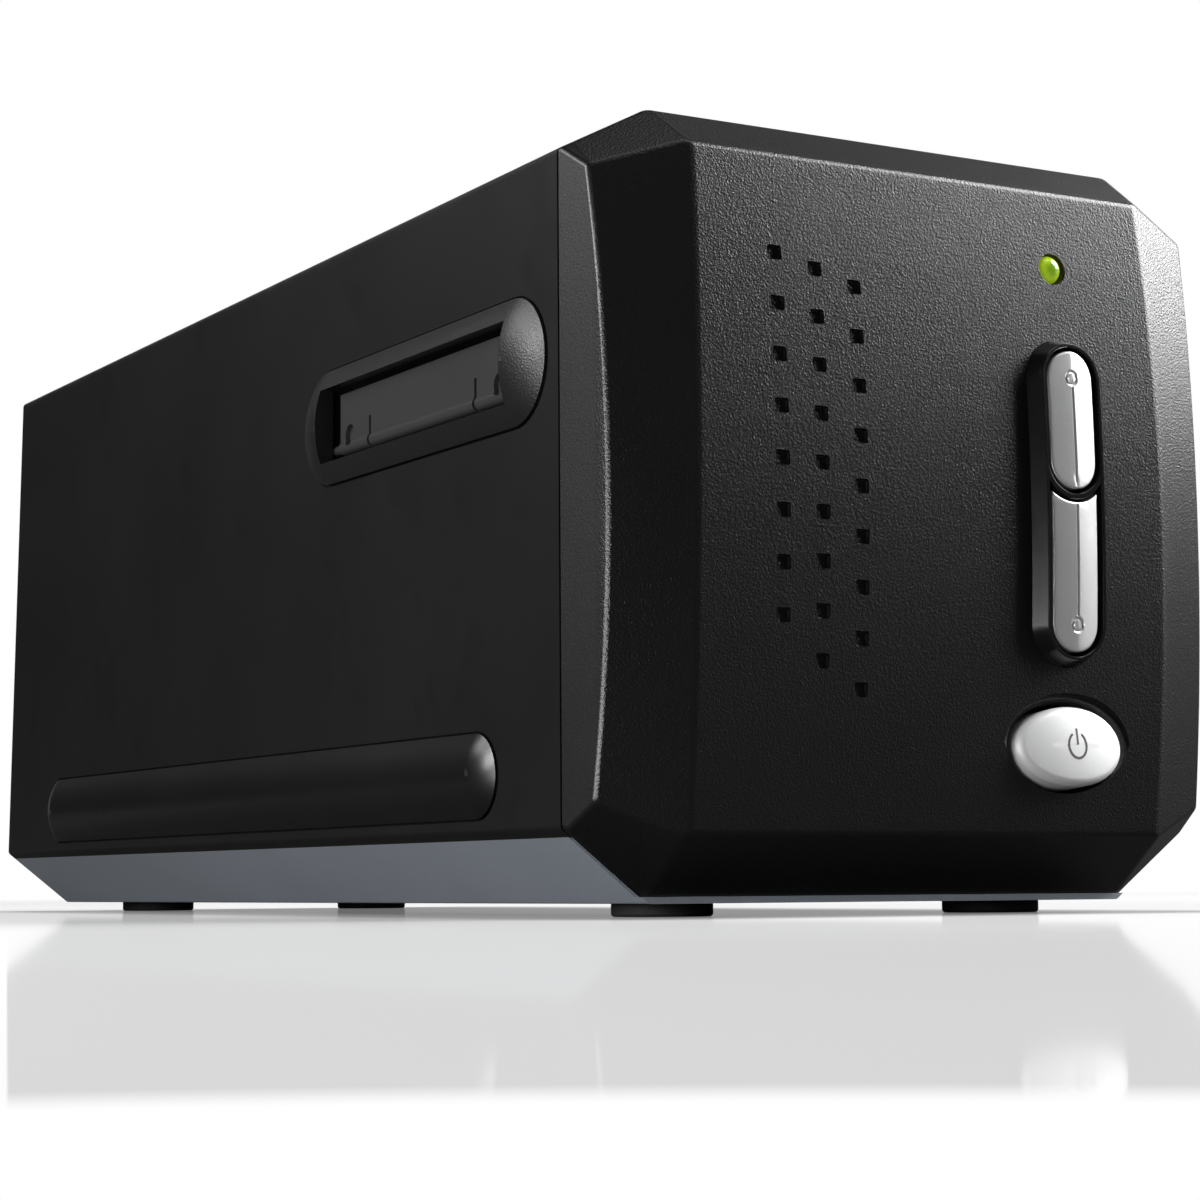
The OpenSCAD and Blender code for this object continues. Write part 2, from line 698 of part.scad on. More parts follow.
// The neck is longer than the slot at both ends, which leaves room for the flap's pins
neck_room = 1;
neck_l = slot_l + 2 * neck_room;
neck_out_l = neck_l + 2 * neck_wall;
neck_out_h = slot_h + 2 * neck_wall;
neck_x = half_w - wall - neck_in;
module around_slot(length, height, from, to) {
  block([from, slot_y - length / 2, slot_z - height / 2],
        [to, slot_y + length / 2, slot_z + height / 2]);
}
module top_cover() color("#1b1b1c") {
  difference() {
    intersection() {
      along_y(seam_y, rear_y + past) polygon(rounded(section(0), edge_round));
      housing_length(seam_y, 0);
    }
    along_y(seam_y - past, rear_y + past) polygon(section(wall));
    block([-body_w, seam_y - past, 0], [body_w, rear_y + past, cover_edge_z]);
    difference() {
      block([-body_w, seam_y - past, 0], [body_w, seam_y + seam_groove, far]);
      along_y(seam_y - past, seam_y + past) polygon(section(seam_groove));
    }
    right_and_left() {
      pad_pocket(surround_l, surround_w, slot_y, slot_z);
      pad_pocket(grip_l, grip_w, grip_y, grip_z);
      around_slot(neck_out_l + 2 * run_gap, neck_out_h + 2 * run_gap, half_w - wall - past, half_w + past);
    }
  }
}
screw_x = 34;
screw_front_d = 44;
screw_rear_inset = 55.6;
screw_front_y = back(screw_front_d);
screw_rear_y = rear_y - screw_rear_inset;
screw_r = 1.6;
module screw_places() {
  for (y = [screw_front_y, (screw_front_y + screw_rear_y) / 2, screw_rear_y], s = [-1, 1])
    translate([s * screw_x, y, base_z]) children();
}
module base_tray() color("#8d959e") {
  difference() {
    intersection() {
      along_y(back(chin_d), rear_y + past) polygon(rounded(section(0), edge_round));
      housing_length(back(chin_d), 0);
      block([-body_w, front_y, base_z], [body_w, rear_y + past, cover_edge_z]);
    }
    along_y(seam_y, rear_y + past) polygon(section(wall));
    block([-body_w, front_y, lip_z], [body_w, seam_y, roof_z]);
    difference() {
      block([-body_w, front_y, base_z + lip_h], [body_w, seam_y + lip_h, roof_z]);
      along_y(front_y, seam_y + past) polygon(section(seam_groove));
    }
    screw_places() translate([0, 0, -past]) cylinder(r = screw_r + slide_gap, h = 2 * past);
    screw_places() cylinder(r = 2 * screw_r + slide_gap, h = lip_h);
  }
}
module rear_panel() color("#1b1b1c") {
  sink = run_gap * 2;
  reach = 2 * (rear_lean + wall + lap_d) + past;
  difference() {
    intersection() {
      along_y(rear_y - reach, rear_y + past) polygon(section(wall + sink));
      housing_length(front_y, rear_proud);
    }
    housing_length(front_y - past, -wall);
    translate([data_x, 0, 0]) socket_cut(data_w, data_h);
    translate([jack_x, 0, 0]) socket_cut(jack_w, jack_h);
  }
  // Rim that the cover and the tray close over
  difference() {
    intersection() {
      along_y(rear_y - reach, rear_y) polygon(section(wall + sink));
      housing_length(front_y, -wall);
    }
    housing_length(front_y - past, -wall - lap_d);
    along_y(front_y, rear_y + past) polygon(section(wall + sink + lap_t));
  }
}
module socket_cut(w, h) {
  block([-w / 2 - slide_gap, 0, socket_z - slide_gap],
        [w / 2 + slide_gap, rear_y + past, socket_z + h + slide_gap]);
}
module side_grip() color("#1d1d1e") {
  domed_pad(grip_l, grip_w, grip_crown, grip_edge, inlay, grip_y, grip_z);
}
module foot(x, y) color("#161616") {
  translate([x, y, 0]) cylinder(d = foot_d, h = foot_h);
}

// ---------- Film slot ----------
flap_y = slot_y;
flap_out_x = half_w - flap_set;
hinge_x = flap_out_x - flap_t / 2;
flap_under = 1.3;
flap_low_z = slot_z - slot_h / 2 + flap_under;
hinge_z = flap_low_z + barrel_r;
pin_grip = 1;
pin_l = neck_l / 2 + pin_grip - flap_l / 2;
module slot_surround() color("#222223") {
  difference() {
    union() {
      domed_pad(surround_l, surround_w, surround_crown, surround_edge, inlay, slot_y, slot_z);
      around_slot(neck_out_l, neck_out_h, neck_x, half_w - inlay);
    }
    around_slot(slot_l, slot_h, neck_x - past, half_w + surround_crown + past);
    around_slot(neck_l, slot_h, neck_x - past, half_w - inlay / 2);
    translate([hinge_x, slot_y, hinge_z]) rotate([90, 0, 0])
      cylinder(r = pivot_r + run_gap, h = neck_out_l + past, center = true);
  }
}
module dust_flap() color("#2a2a2b") {
  low = flap_low_z + barrel_r;
  difference() {
    union() {
      block([hinge_x - flap_t / 2, flap_y - flap_l / 2, low],
            [hinge_x + flap_t / 2, flap_y + flap_l / 2, flap_low_z + flap_h]);
      translate([hinge_x, flap_y, hinge_z]) rotate([90, 0, 0])
        cylinder(r = barrel_r, h = flap_l, center = true);
    }
    for (s = [-1, 1]) {
      block([hinge_x - past, flap_y + s * slit_x - slit_w / 2, flap_low_z - past],
            [hinge_x + past, flap_y + s * slit_x + slit_w / 2, flap_low_z + slit_l]);
      translate([hinge_x, flap_y + s * flap_hole_x, flap_low_z + flap_hole_d / 2 + barrel_r])
        rotate([0, 90, 0]) cylinder(d = flap_hole_d, h = 2 * past);
    }
  }
  for (s = [-1, 1])
    translate([hinge_x, flap_y + s * (flap_l + pin_l) / 2, hinge_z]) rotate([90, 0, 0])
      cylinder(r = pivot_r, h = pin_l + run_gap, center = true);
}

// ---------- Film path and lamp ----------
path_z = slot_z - slot_h / 2 + path_rise;
bay_z = slot_z - slot_h / 2 + slide_gap;
guide_low_z = bay_z - guide_t;
path_top_z = slot_z + slot_h / 2;
guide_end_x = neck_x - slide_gap;
guide_half_d = slot_l / 2 + guide_wall;
// The flap's deepest reach into the guide as it swings inward
flap_reach = (flap_h - barrel_r) * sin(flap_swing) + flap_t / 2 * cos(flap_swing);
bay_x = hinge_x - flap_reach - bay_gap;
module gate(from, to) {
  block([-gate_l / 2, slot_y - gate_w / 2, from], [gate_l / 2, slot_y + gate_w / 2, to]);
}
module lower_film_guide() color("#303234") {
  difference() {
    block([-guide_end_x, slot_y - guide_half_d, guide_low_z],
          [guide_end_x, slot_y + guide_half_d, path_top_z]);
    block([-guide_end_x - past, slot_y - slot_l / 2, path_z],
          [guide_end_x + past, slot_y + slot_l / 2, path_top_z + past]);
    right_and_left()
      block([bay_x, slot_y - slot_l / 2, bay_z], [guide_end_x + past, slot_y + slot_l / 2, path_z + past]);
    gate(guide_low_z - past, path_z + past);
  }
}
module upper_film_guide() color("#303234") {
  difference() {
    block([-guide_end_x, slot_y - guide_half_d, path_top_z],
          [guide_end_x, slot_y + guide_half_d, path_top_z + guide_wall]);
    gate(path_top_z - past, path_top_z + past);
  }
}
lamp_z = path_top_z + guide_wall;
lamp_h = roof_z - wall - lamp_gap - lamp_z;
module lamp_housing() color("#38393b") {
  difference() {
    block([-lamp_w / 2, slot_y - lamp_d / 2, lamp_z],
          [lamp_w / 2, slot_y + lamp_d / 2, lamp_z + lamp_h]);
    block([-lamp_w / 2 + lamp_wall, slot_y - lamp_d / 2 + lamp_wall, lamp_z - past],
          [lamp_w / 2 - lamp_wall, slot_y + lamp_d / 2 - lamp_wall, lamp_z + lamp_h - lamp_wall]);
  }
}
lamp_board_rim = 4;
diode_side = 5;
diode_h = 1.5;
module lamp_board() color("#e8e8e4") {
  top = lamp_z + lamp_h - lamp_wall;
  block([-lamp_w / 2 + lamp_board_rim, slot_y - lamp_d / 2 + lamp_board_rim, top - board_t],
        [lamp_w / 2 - lamp_board_rim, slot_y + lamp_d / 2 - lamp_board_rim, top]);
  for (x = [-1:1], y = [-1, 1])
    translate([x * gate_l / 2, slot_y + y * gate_w / 3, top - board_t - diode_h / 2])
      cube([diode_side, diode_side, diode_h], center = true);
}
module light_diffuser() color("#f2f3f0") {
  block([-gate_l / 2 - diffuser_t * 2, slot_y - gate_w / 2 - diffuser_t * 2, lamp_z],
        [gate_l / 2 + diffuser_t * 2, slot_y + gate_w / 2 + diffuser_t * 2, lamp_z + diffuser_t]);
}

// ---------- Sizes of the drive ----------
pin_r = 1.5;
shaft_r = 1.5;
flange_out = 1.3;
flange_h = 1;
belt_z = 11;
pulley_low_z = belt_z - flange_h;
pulley_top_z = belt_z + belt_w + flange_h;
shelf_x = 28.5;
motor_y = rear_y - motor_inset;

// ---------- Chassis ----------
chassis_t = 2.5;
chassis_z = floor_z + chassis_t;
chassis_half_w = 42;
chassis_front_d = 24;
chassis_rear_inset = 17.6;
chassis_rear_y = rear_y - chassis_rear_inset;
tower_x = 38.5;
tower_w = 5;
upright_front_d = 26;
upright_rear_inset = 29.6;
upright_front_y = back(upright_front_d);
upright_rear_y = rear_y - upright_rear_inset;
upright_t = 3;
post_r = 2.5;
post_x = 39.5;
post_inset = 8;
main_board_front_d = 114;
main_board_front_y = back(main_board_front_d);
post_rear_inset = 22.6;
pin_over = 1;
shelf_z = pulley_top_z + chassis_t + slide_gap * 2;
module tower(x, d) {
  block([x - tower_w / 2, back(d) - tower_w / 2, floor_z],
        [x + tower_w / 2, back(d) + tower_w / 2, guide_low_z]);
}
module rod_upright(y) {
  difference() {
    along_y(y, y + upright_t)
      polygon([[-rod_x - 3 * rod_r, floor_z], [rod_x + 3 * rod_r, floor_z],
               [rod_x + 2 * rod_r, rod_z + 2 * rod_r], [-rod_x - 2 * rod_r, rod_z + 2 * rod_r]]);
    for (s = [-1, 1]) translate([s * rod_x, y - past, rod_z]) rotate([-90, 0, 0])
      cylinder(r = rod_r + run_gap, h = upright_t + 2 * past);
    block([-rod_x + 2 * rod_r, y - past, chassis_z + chassis_t],
          [rod_x - 2 * rod_r, y + upright_t + past, rod_z + rod_r]);
  }
}
module chassis() color("#2b2c2e") {
  difference() {
    block([-chassis_half_w, back(chassis_front_d), floor_z], [chassis_half_w, chassis_rear_y, chassis_z]);
    screw_places() cylinder(r = screw_r - run_gap * 4, h = chassis_z);
  }
  for (s = [-1, 1], e = [-1, 1]) tower(s * tower_x, slot_d + e * (slot_l / 2 - tower_w / 2));
  rod_upright(upright_front_y);
  rod_upright(upright_rear_y);
  for (s = [-1, 1], y = [main_board_front_y + post_inset, rear_y - post_rear_inset])
    translate([s * post_x, y, floor_z]) cylinder(r = post_r, h = main_board_z - floor_z);
  // Pin of the idler pulley and shelf of the motor
  translate([pulley_x, back(idler_d), floor_z]) cylinder(r = pin_r, h = pulley_top_z + pin_over - floor_z);
  difference() {
    union() {
      block([shelf_x, motor_y - motor_r, shelf_z - chassis_t],
            [pulley_x + motor_r, motor_y + motor_r, shelf_z]);
      block([shelf_x, motor_y + motor_r - upright_t, floor_z],
            [chassis_half_w, motor_y + motor_r, shelf_z]);
      block([shelf_x, motor_y - motor_r, floor_z],
            [shelf_x + upright_t, motor_y + motor_r, shelf_z]);
    }
    translate([pulley_x, motor_y, 0]) cylinder(r = shaft_r * 2, h = far);
  }
}
module guide_rod(s) color("#b9bcc0") {
  translate([s * rod_x, upright_front_y, rod_z]) rotate([-90, 0, 0])
    cylinder(r = rod_r, h = upright_rear_y + upright_t - upright_front_y);
}
module base_screws() color("#9a9da1") {
  screw_places() {
    cylinder(r = 2 * screw_r, h = lip_h);
    cylinder(r = screw_r - run_gap * 4, h = chassis_z - base_z);
  }
}

// ---------- Drive ----------
module pulley_body() {
  translate([0, 0, pulley_low_z]) {
    cylinder(r = pulley_r + flange_out, h = flange_h);
    cylinder(r = pulley_r - run_gap * 2, h = pulley_top_z - pulley_low_z);
    translate([0, 0, belt_w + flange_h]) cylinder(r = pulley_r + flange_out, h = flange_h);
  }
}
module idler_pulley() color("#d8d4c8") {
  translate([pulley_x, back(idler_d), 0]) difference() {
    pulley_body();
    cylinder(r = pin_r + run_gap, h = far);
  }
}
module drive_pulley() color("#b9a36a") {
  translate([pulley_x, motor_y, 0]) {
    pulley_body();
    translate([0, 0, pulley_low_z]) cylinder(r = shaft_r, h = shelf_z - pulley_low_z + motor_h / 2);
  }
}
module scan_motor() color("#9b9ea3") {
  cap_in = 2;
  cap_h = 1;
  terminals_out = 2;
  translate([pulley_x, motor_y, shelf_z]) difference() {
    union() {
      cylinder(r = motor_r, h = motor_h);
      cylinder(r = motor_r - cap_in, h = motor_h + cap_h);
      translate([-motor_r - terminals_out, -motor_r / 2, 0]) cube([motor_r, motor_r, motor_h / 2]);
    }
    translate([0, 0, -past]) cylinder(r = shaft_r + run_gap, h = past + motor_h / 2 + cap_h);
  }
}
module belt_loop(r) {
  translate([pulley_x - r, back(idler_d)]) square([2 * r, motor_y - back(idler_d)]);
  for (y = [back(idler_d), motor_y]) translate([pulley_x, y]) circle(r = r);
}
module drive_belt() color("#202020") {
  along_z(belt_z + run_gap, belt_z + belt_w - run_gap) difference() {
    belt_loop(pulley_r + belt_t);
    belt_loop(pulley_r);
  }
}

// ---------- Carriage ----------
carriage_y = back(carriage_front_d);
mirror_y = back(slot_d) - scan_travel / 2;
optic_z = carriage_z + carriage_h / 2;
lens_y = carriage_y + lens_d;
mirror_t = 2.5;
mirror_side = 20;
mirror_gap = 0.5;
slit_half_d = 3;
window_half_h = 5;
wedge_t = 4;
lug_w = 10;
lug_l = 12;
lug_inset = 10;
lug_under = 1.5;
module lug(x, d) {
  block([x - lug_w / 2, carriage_y + d, rod_z - rod_r - lug_under],
        [x + lug_w / 2, carriage_y + d + lug_l, carriage_z]);
}
module carriage_frame() color("#303336") {
  half = carriage_w / 2;
  inner = half - carriage_wall;
  rear = carriage_y + carriage_l;
  top = carriage_z + carriage_h;
  sunk = carriage_wall / 2;
  mirror_lean = mirror_t / sqrt(2);
  arm_x = pulley_x - pulley_r - belt_t / 2;
  arm_l = 8;
  arm_y = carriage_y + (carriage_l - arm_l) / 2;
  arm_in = 3;
  arm_out = 2.2;
  difference() {
    union() {
      difference() {
        block([-half, carriage_y, carriage_z], [half, rear, top]);
        block([-inner, carriage_y + carriage_wall, carriage_z + carriage_wall],
              [inner, rear - carriage_wall, top - carriage_wall]);
        // Slit that the film's light falls through, and the window of the sensor
        block([-gate_l / 2, mirror_y - slit_half_d, top - past],
              [gate_l / 2, mirror_y + slit_half_d, top + past]);
        block([-gate_l / 2, rear - past, optic_z - window_half_h],
              [gate_l / 2, rear + past, optic_z + window_half_h]);
      }
      // Wall that carries the lens
      block([-inner, lens_y - carriage_wall, carriage_z + sunk],
            [inner, lens_y + carriage_wall, top - sunk]);
      // Wedges behind the mirror
      right_and_left() along_x(inner - wedge_t, inner)
        polygon([[carriage_y + sunk, carriage_z + sunk],
                 [mirror_y + optic_z - carriage_z - sunk - mirror_lean, carriage_z + sunk],
                 [carriage_y + sunk, optic_z + mirror_y - carriage_y - sunk - mirror_lean]]);
      lug(-rod_x, lug_inset);
      lug(-rod_x, carriage_l - lug_l - lug_inset);
      lug(rod_x, carriage_l / 2);
      // Arm that grips the belt
      block([inner, arm_y, carriage_z], [arm_x + arm_out, arm_y + arm_l, carriage_z + arm_in]);
      block([arm_x - arm_in, arm_y, belt_z - arm_out],
            [arm_x + arm_out, arm_y + arm_l, carriage_z + carriage_wall]);
    }
    translate([0, lens_y, optic_z]) rotate([90, 0, 0])
      cylinder(r = lens_r + run_gap, h = 4 * carriage_wall, center = true);
    translate([-rod_x, carriage_y - past, rod_z]) rotate([-90, 0, 0])
      cylinder(r = rod_r + run_gap, h = carriage_l + 2 * past);
    // The right rod runs in an open fork
    block([rod_x - rod_r - run_gap - mirror_gap, carriage_y, rod_z - rod_r - run_gap],
          [rod_x + lug_w, rear, rod_z + rod_r + run_gap]);
    block([arm_x - belt_t / 2 - slide_gap, arm_y - past, belt_z - slide_gap],
          [arm_x + belt_t / 2 + slide_gap, arm_y + arm_l + past, belt_z + belt_w + slide_gap]);
  }
}
module scan_mirror() color("#d4dbe0") {
  translate([0, mirror_y, optic_z]) rotate([-45, 0, 0])
    cube([carriage_w - 2 * (carriage_wall + mirror_gap), mirror_side, mirror_t], center = true);
}
lens_wall = 2;
lens_rim = 1.5;
glass_t = 3;
glass_inset = 2;
module lens_barrel() color("#1a1a1a") {
  translate([0, lens_y - lens_l / 2, optic_z]) rotate([-90, 0, 0]) difference() {
    union() {
      cylinder(r = lens_r, h = lens_l);
      cylinder(r = lens_r + lens_rim, h = lens_l / 3);
    }
    translate([0, 0, -past]) cylinder(r = lens_r - lens_wall, h = lens_l + 2 * past);
  }
}
module lens_glass() color("#9fb8c8") {
  for (d = [glass_inset, lens_l - glass_inset - glass_t])
    translate([0, lens_y - lens_l / 2 + d, optic_z]) rotate([-90, 0, 0])
      cylinder(r = lens_r - lens_wall, h = glass_t);
}
sensor_edge = 3;
chip_gap = 1;
module sensor_board() color("#2f5d3a") {
  rear = carriage_y + carriage_l;
  half_w = carriage_w / 2 - 2 * carriage_wall;
  half_h = carriage_h / 2 - sensor_edge;
  block([-half_w, rear, optic_z - half_h], [half_w, rear + board_t, optic_z + half_h]);
  // Sensor strip, which stands in the carriage's window
  block([-gate_l / 2 + chip_gap, rear - sensor_edge, optic_z - window_half_h + chip_gap],
        [gate_l / 2 - chip_gap, rear, optic_z + window_half_h - chip_gap]);
}

// ---------- Main board and its sockets ----------
main_board_half_w = 43;
socket_z = main_board_z + board_t;
socket_end_y = rear_at(socket_z) - wall / 2;
module main_board() color("#2f5d3a") {
  block([-main_board_half_w, main_board_front_y, main_board_z],
        [main_board_half_w, socket_end_y - wall * 2, socket_z]);
}
throat_deep = 9;
throat_w = 8.4;
throat_h = 7.8;
throat_cut_w = 1.3;
throat_cut_h = 1.9;
tongue_w = 5.6;
tongue_h = 3.2;
module data_socket() color("#b7babd") {
  translate([data_x, 0, 0]) difference() {
    block([-data_w / 2, socket_end_y - socket_l, socket_z], [data_w / 2, socket_end_y, socket_z + data_h]);
    // Square throat with its two upper corners cut, around the tongue
    along_y(socket_end_y - throat_deep, socket_end_y + past) translate([0, socket_z + data_h / 2])
      difference() {
        polygon([[-throat_w / 2, -throat_h / 2], [throat_w / 2, -throat_h / 2],
                 [throat_w / 2, throat_h / 2 - throat_cut_h],
                 [throat_w / 2 - throat_cut_w, throat_h / 2],
                 [throat_cut_w - throat_w / 2, throat_h / 2],
                 [-throat_w / 2, throat_h / 2 - throat_cut_h]]);
        square([tongue_w, tongue_h], center = true);
      }
  }
}
jack_deep = 10.5;
jack_bore_r = 3.1;
jack_pin_r = 1;
jack_pin_l = 9;
module power_socket() color("#202020") {
  translate([jack_x, 0, 0]) difference() {
    block([-jack_w / 2, socket_end_y - socket_l, socket_z], [jack_w / 2, socket_end_y, socket_z + jack_h]);
    translate([0, socket_end_y - jack_deep, socket_z + jack_h / 2]) rotate([-90, 0, 0]) difference() {
      cylinder(r = jack_bore_r, h = jack_deep + past);
      cylinder(r = jack_pin_r, h = jack_pin_l);
    }
  }
}
// Flat ribbon from the button board over the lamp housing to the main board
ribbon_w = 10;
ribbon_t = 0.5;
plug_side = 3;
module panel_ribbon() color("#d9d6cc") {
  rise = lamp_z + lamp_h + ribbon_t;
  start = back(button_board_d) + board_t;
  fold = start + plug_side / 2;
  drop = main_board_front_y + 2 * plug_side;
  plug_z = button_board_top_z - 3 * plug_side;
  along_x(control_x - ribbon_w / 2, control_x + ribbon_w / 2) {
    translate([start, plug_z]) square(plug_side);
    translate([fold, plug_z]) square([ribbon_t, rise + ribbon_t - plug_z]);
    translate([fold, rise]) square([drop - fold, ribbon_t]);
    translate([drop - ribbon_t, socket_z]) square([ribbon_t, rise + ribbon_t - socket_z]);
    translate([drop - plug_side / 2, socket_z]) square(plug_side);
  }
}

front_foot_y = back(front_foot_d);
rear_foot_y = rear_y - rear_foot_inset;

top_cover();
base_tray();
front_panel();
rear_panel();
button_ring();
status_light();
mirror([1, 0, 0]) slot_surround();  // left_slot_surround
slot_surround();  // right_slot_surround
mirror([1, 0, 0]) side_grip();  // left_side_grip
side_grip();  // right_side_grip
foot(-front_foot_x, front_foot_y);  // front_left_foot
foot(front_foot_x, front_foot_y);  // front_right_foot
foot(-rear_foot_x, rear_foot_y);  // rear_left_foot
foot(rear_foot_x, rear_foot_y);  // rear_right_foot
chassis();
lower_film_guide();
upper_film_guide();
lamp_housing();
lamp_board();
light_diffuser();
guide_rod(-1);  // left_guide_rod
guide_rod(1);  // right_guide_rod
scan_motor();
drive_belt();
main_board();
data_socket();
power_socket();
button_board();
push_switches();
panel_ribbon();
base_screws();
upper_scan_button();
lower_scan_button();
power_button();
mirror([1, 0, 0]) dust_flap();  // left_dust_flap
dust_flap();  // right_dust_flap
carriage_frame();
scan_mirror();
lens_barrel();
lens_glass();
sensor_board();
drive_pulley();
idler_pulley();
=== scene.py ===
import json
import math

import bmesh
import bpy
from mathutils import Matrix, Vector


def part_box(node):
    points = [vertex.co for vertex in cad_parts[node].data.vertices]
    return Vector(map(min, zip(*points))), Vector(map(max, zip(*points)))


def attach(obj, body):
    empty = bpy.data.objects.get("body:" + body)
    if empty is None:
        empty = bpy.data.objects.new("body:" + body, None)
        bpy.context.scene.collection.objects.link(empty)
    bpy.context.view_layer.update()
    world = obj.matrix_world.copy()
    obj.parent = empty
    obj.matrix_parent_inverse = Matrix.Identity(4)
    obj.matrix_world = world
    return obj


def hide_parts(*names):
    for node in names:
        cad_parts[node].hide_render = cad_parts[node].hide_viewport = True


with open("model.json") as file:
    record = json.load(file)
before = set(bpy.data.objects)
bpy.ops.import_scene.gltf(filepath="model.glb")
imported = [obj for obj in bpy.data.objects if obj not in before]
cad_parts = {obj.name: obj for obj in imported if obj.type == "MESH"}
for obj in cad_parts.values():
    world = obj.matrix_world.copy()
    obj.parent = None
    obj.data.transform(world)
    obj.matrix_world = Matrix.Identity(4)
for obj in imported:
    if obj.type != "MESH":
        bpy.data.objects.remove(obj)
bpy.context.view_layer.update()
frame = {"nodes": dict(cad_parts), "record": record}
NODES = frame["nodes"]
MM = 0.001

# ---------- Sizes, in millimetres ----------
# Housing: half its width, its heights, and the bevels along its roof and base
HALF_W, ROOF_Z, BASE_Z, LIP_Z = 57.0, 119.0, 2.0, 3.0
ROOF_CUT_W, ROOF_CUT_H = 13.8, 7.2
BASE_CUT_W, BASE_CUT_H = 13.8, 10.8
SIDE_TOP_Z = ROOF_Z - ROOF_CUT_H
SIDE_LOW_Z = BASE_Z + BASE_CUT_H
# Panel: its foremost line, the seam behind it, and the bow of its face
FRONT_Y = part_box("front_panel")[0].y / MM
PANEL_D = 15
SEAM_Y = FRONT_Y + PANEL_D
FACE_LOW_Z, FACE_TOP_Z = 12.0, 112.0
FACE_MID_Z = (FACE_LOW_Z + FACE_TOP_Z) / 2
FACE_HALF_H = (FACE_TOP_Z - FACE_LOW_Z) / 2
FACE_BOW = 3.4
BOW_R = (FACE_HALF_H ** 2 + FACE_BOW ** 2) / (2 * FACE_BOW)
FACE_HALF_W, FACE_TAPER, FLANK_ANGLE = 42.7, math.radians(0.8), math.radians(23.5)
# How far the brow, the chin and the side strips lie behind the foremost line
BROW_D, CHIN_D, STRIP_D, STRIP_TAPER = 13.0, 14.0, 9.0, 1.4
STRIP_TOP_DROP, STRIP_LOW_RISE = 3.6, 3.2
PANEL_ROUND, SEAM_ROUND = 0.6, 0.35
# The panel's inner pocket, and how far its cutters stand out in front
POCKET_HALF_W, POCKET_D, POCKET_LOW_Z, POCKET_TOP_Z = 45, 5, 14, 108
TOOL_OUT = 3.0
# The panel's grain grows weaker from here outwards, on either side
GRAIN_END_X, GRAIN_FADE_W = 54.8, 0.6
# Column of controls, and the status light's lens
CONTROL_X, LIGHT_Z = 23.3, 99.6
LENS_R, LENS_DOME, LENS_PROUD, LENS_BACK = 2.2, 2.4, 0.45, 12.5
# Ring: half widths from its foot to its hole, its height, and the centres of its ends
RING_FOOT, RING_RIM, RING_HOLE = 6.7, 5.5, 5.0
RING_EDGE, RING_SINK = 0.12, 0.3
RING_RAISE, RING_DEEP, NECK_HALF = 2.7, 4.2, 5.75
RING_LOW_END = FACE_LOW_Z + 31.85
RING_TOP_END = FACE_TOP_Z - 30.4
# Scan buttons, and the arched bar between them
SCAN_HALF, SCAN_ROUND = 4.35, 0.35
SCAN_PROUD, SCAN_EDGE = 2.9, 2.3
SCAN_TOP_Z = RING_TOP_END + SCAN_HALF
SCAN_LOW_Z = RING_LOW_END - SCAN_HALF
SCAN_SPLIT_Z = FACE_TOP_Z - 47.5
BAR_Z = SCAN_SPLIT_Z + SCAN_HALF
BAR_W, BAR_GAP, BAR_ROUND, BAR_DROP = 0.9, 0.5, 0.2, 0.1
# How far the bar runs into the ring's wall on either side
BAR_REACH = RING_HOLE + 0.3
# Thumb marks: distance from the button's end, radius and groove; the crease between them
MARK_INSET, MARK_R, MARK_GROOVE = 4.2, 0.98, 0.38
CREASE_DEEP, CREASE_FROM_MARK, CREASE_FROM_SPLIT = 0.22, 1.3, 0.8
# Power button, tilted with the face
POWER_X, POWER_Z = 24.1, 25.2
POWER_W, POWER_H, POWER_PROUD = 20.2, 12.3, 2.5
POWER_BACK, POWER_ROUND, POWER_DOME = 6.5, 1.2, 1.7
POWER_R = (POWER_W ** 2 / 4 + POWER_DOME ** 2) / (2 * POWER_DOME)
POWER_TILT = math.asin((FACE_MID_Z - POWER_Z) / BOW_R)
# Its symbol: radius, squeeze in X, half the line's width, and the bar's ends
SIGN_R, SIGN_SQUEEZE, SIGN_LINE = 1.95, 0.86, 0.19
SIGN_LOW, SIGN_TOP, SIGN_RAISE = 0.1, 2.6, 0.04
# Dimples: each column's X, drop from the face's top, length and number
DIMPLE_COLUMNS = ((-28.4, 15.3, 53.4, 8), (-21.5, 17.1, 58.0, 9), (-14.6, 19.2, 59.9, 9))
DIMPLE_W, DIMPLE_H, DIMPLE_DEEP = 2.4, 2.2, 0.8
DIMPLE_CORNER, DIMPLE_FLOOR_ROUND = 0.35, 0.2
# Feet and screws
FOOT_R, FOOT_H, SOLE_ROUND = 7.75, 2.0, 0.5
SCREW_R, SCREW_SHANK_R, SCREW_HEAD_H = 3.2, 1.3, 1.0
CROSS_HALF_L, CROSS_HALF_W, CROSS_DEEP, CROSS_TURN = 1.7, 0.32, 0.7, 20
SCREW_XS, SCREW_YS = (-34, 34), (44, 129, 214)
# Camera that was fitted to the photo: its place, Y from the foremost line, its
# yaw, pitch and roll in degrees, and its focal length and frame in the photo's pixels
CAMERA_X, CAMERA_Y, CAMERA_Z = -250.225, FRONT_Y - 335.471, 4.507
CAMERA_TURNS = (29.672, 5.844, -0.403)
FOCAL_PIXELS, PHOTO_PIXELS, SENSOR_W = 2803.52, 1200, 36.0
# Distances that count as none, in metres: between two planes, and for a cut
HAIR, CUT_HAIR = 0.00001, 0.000001


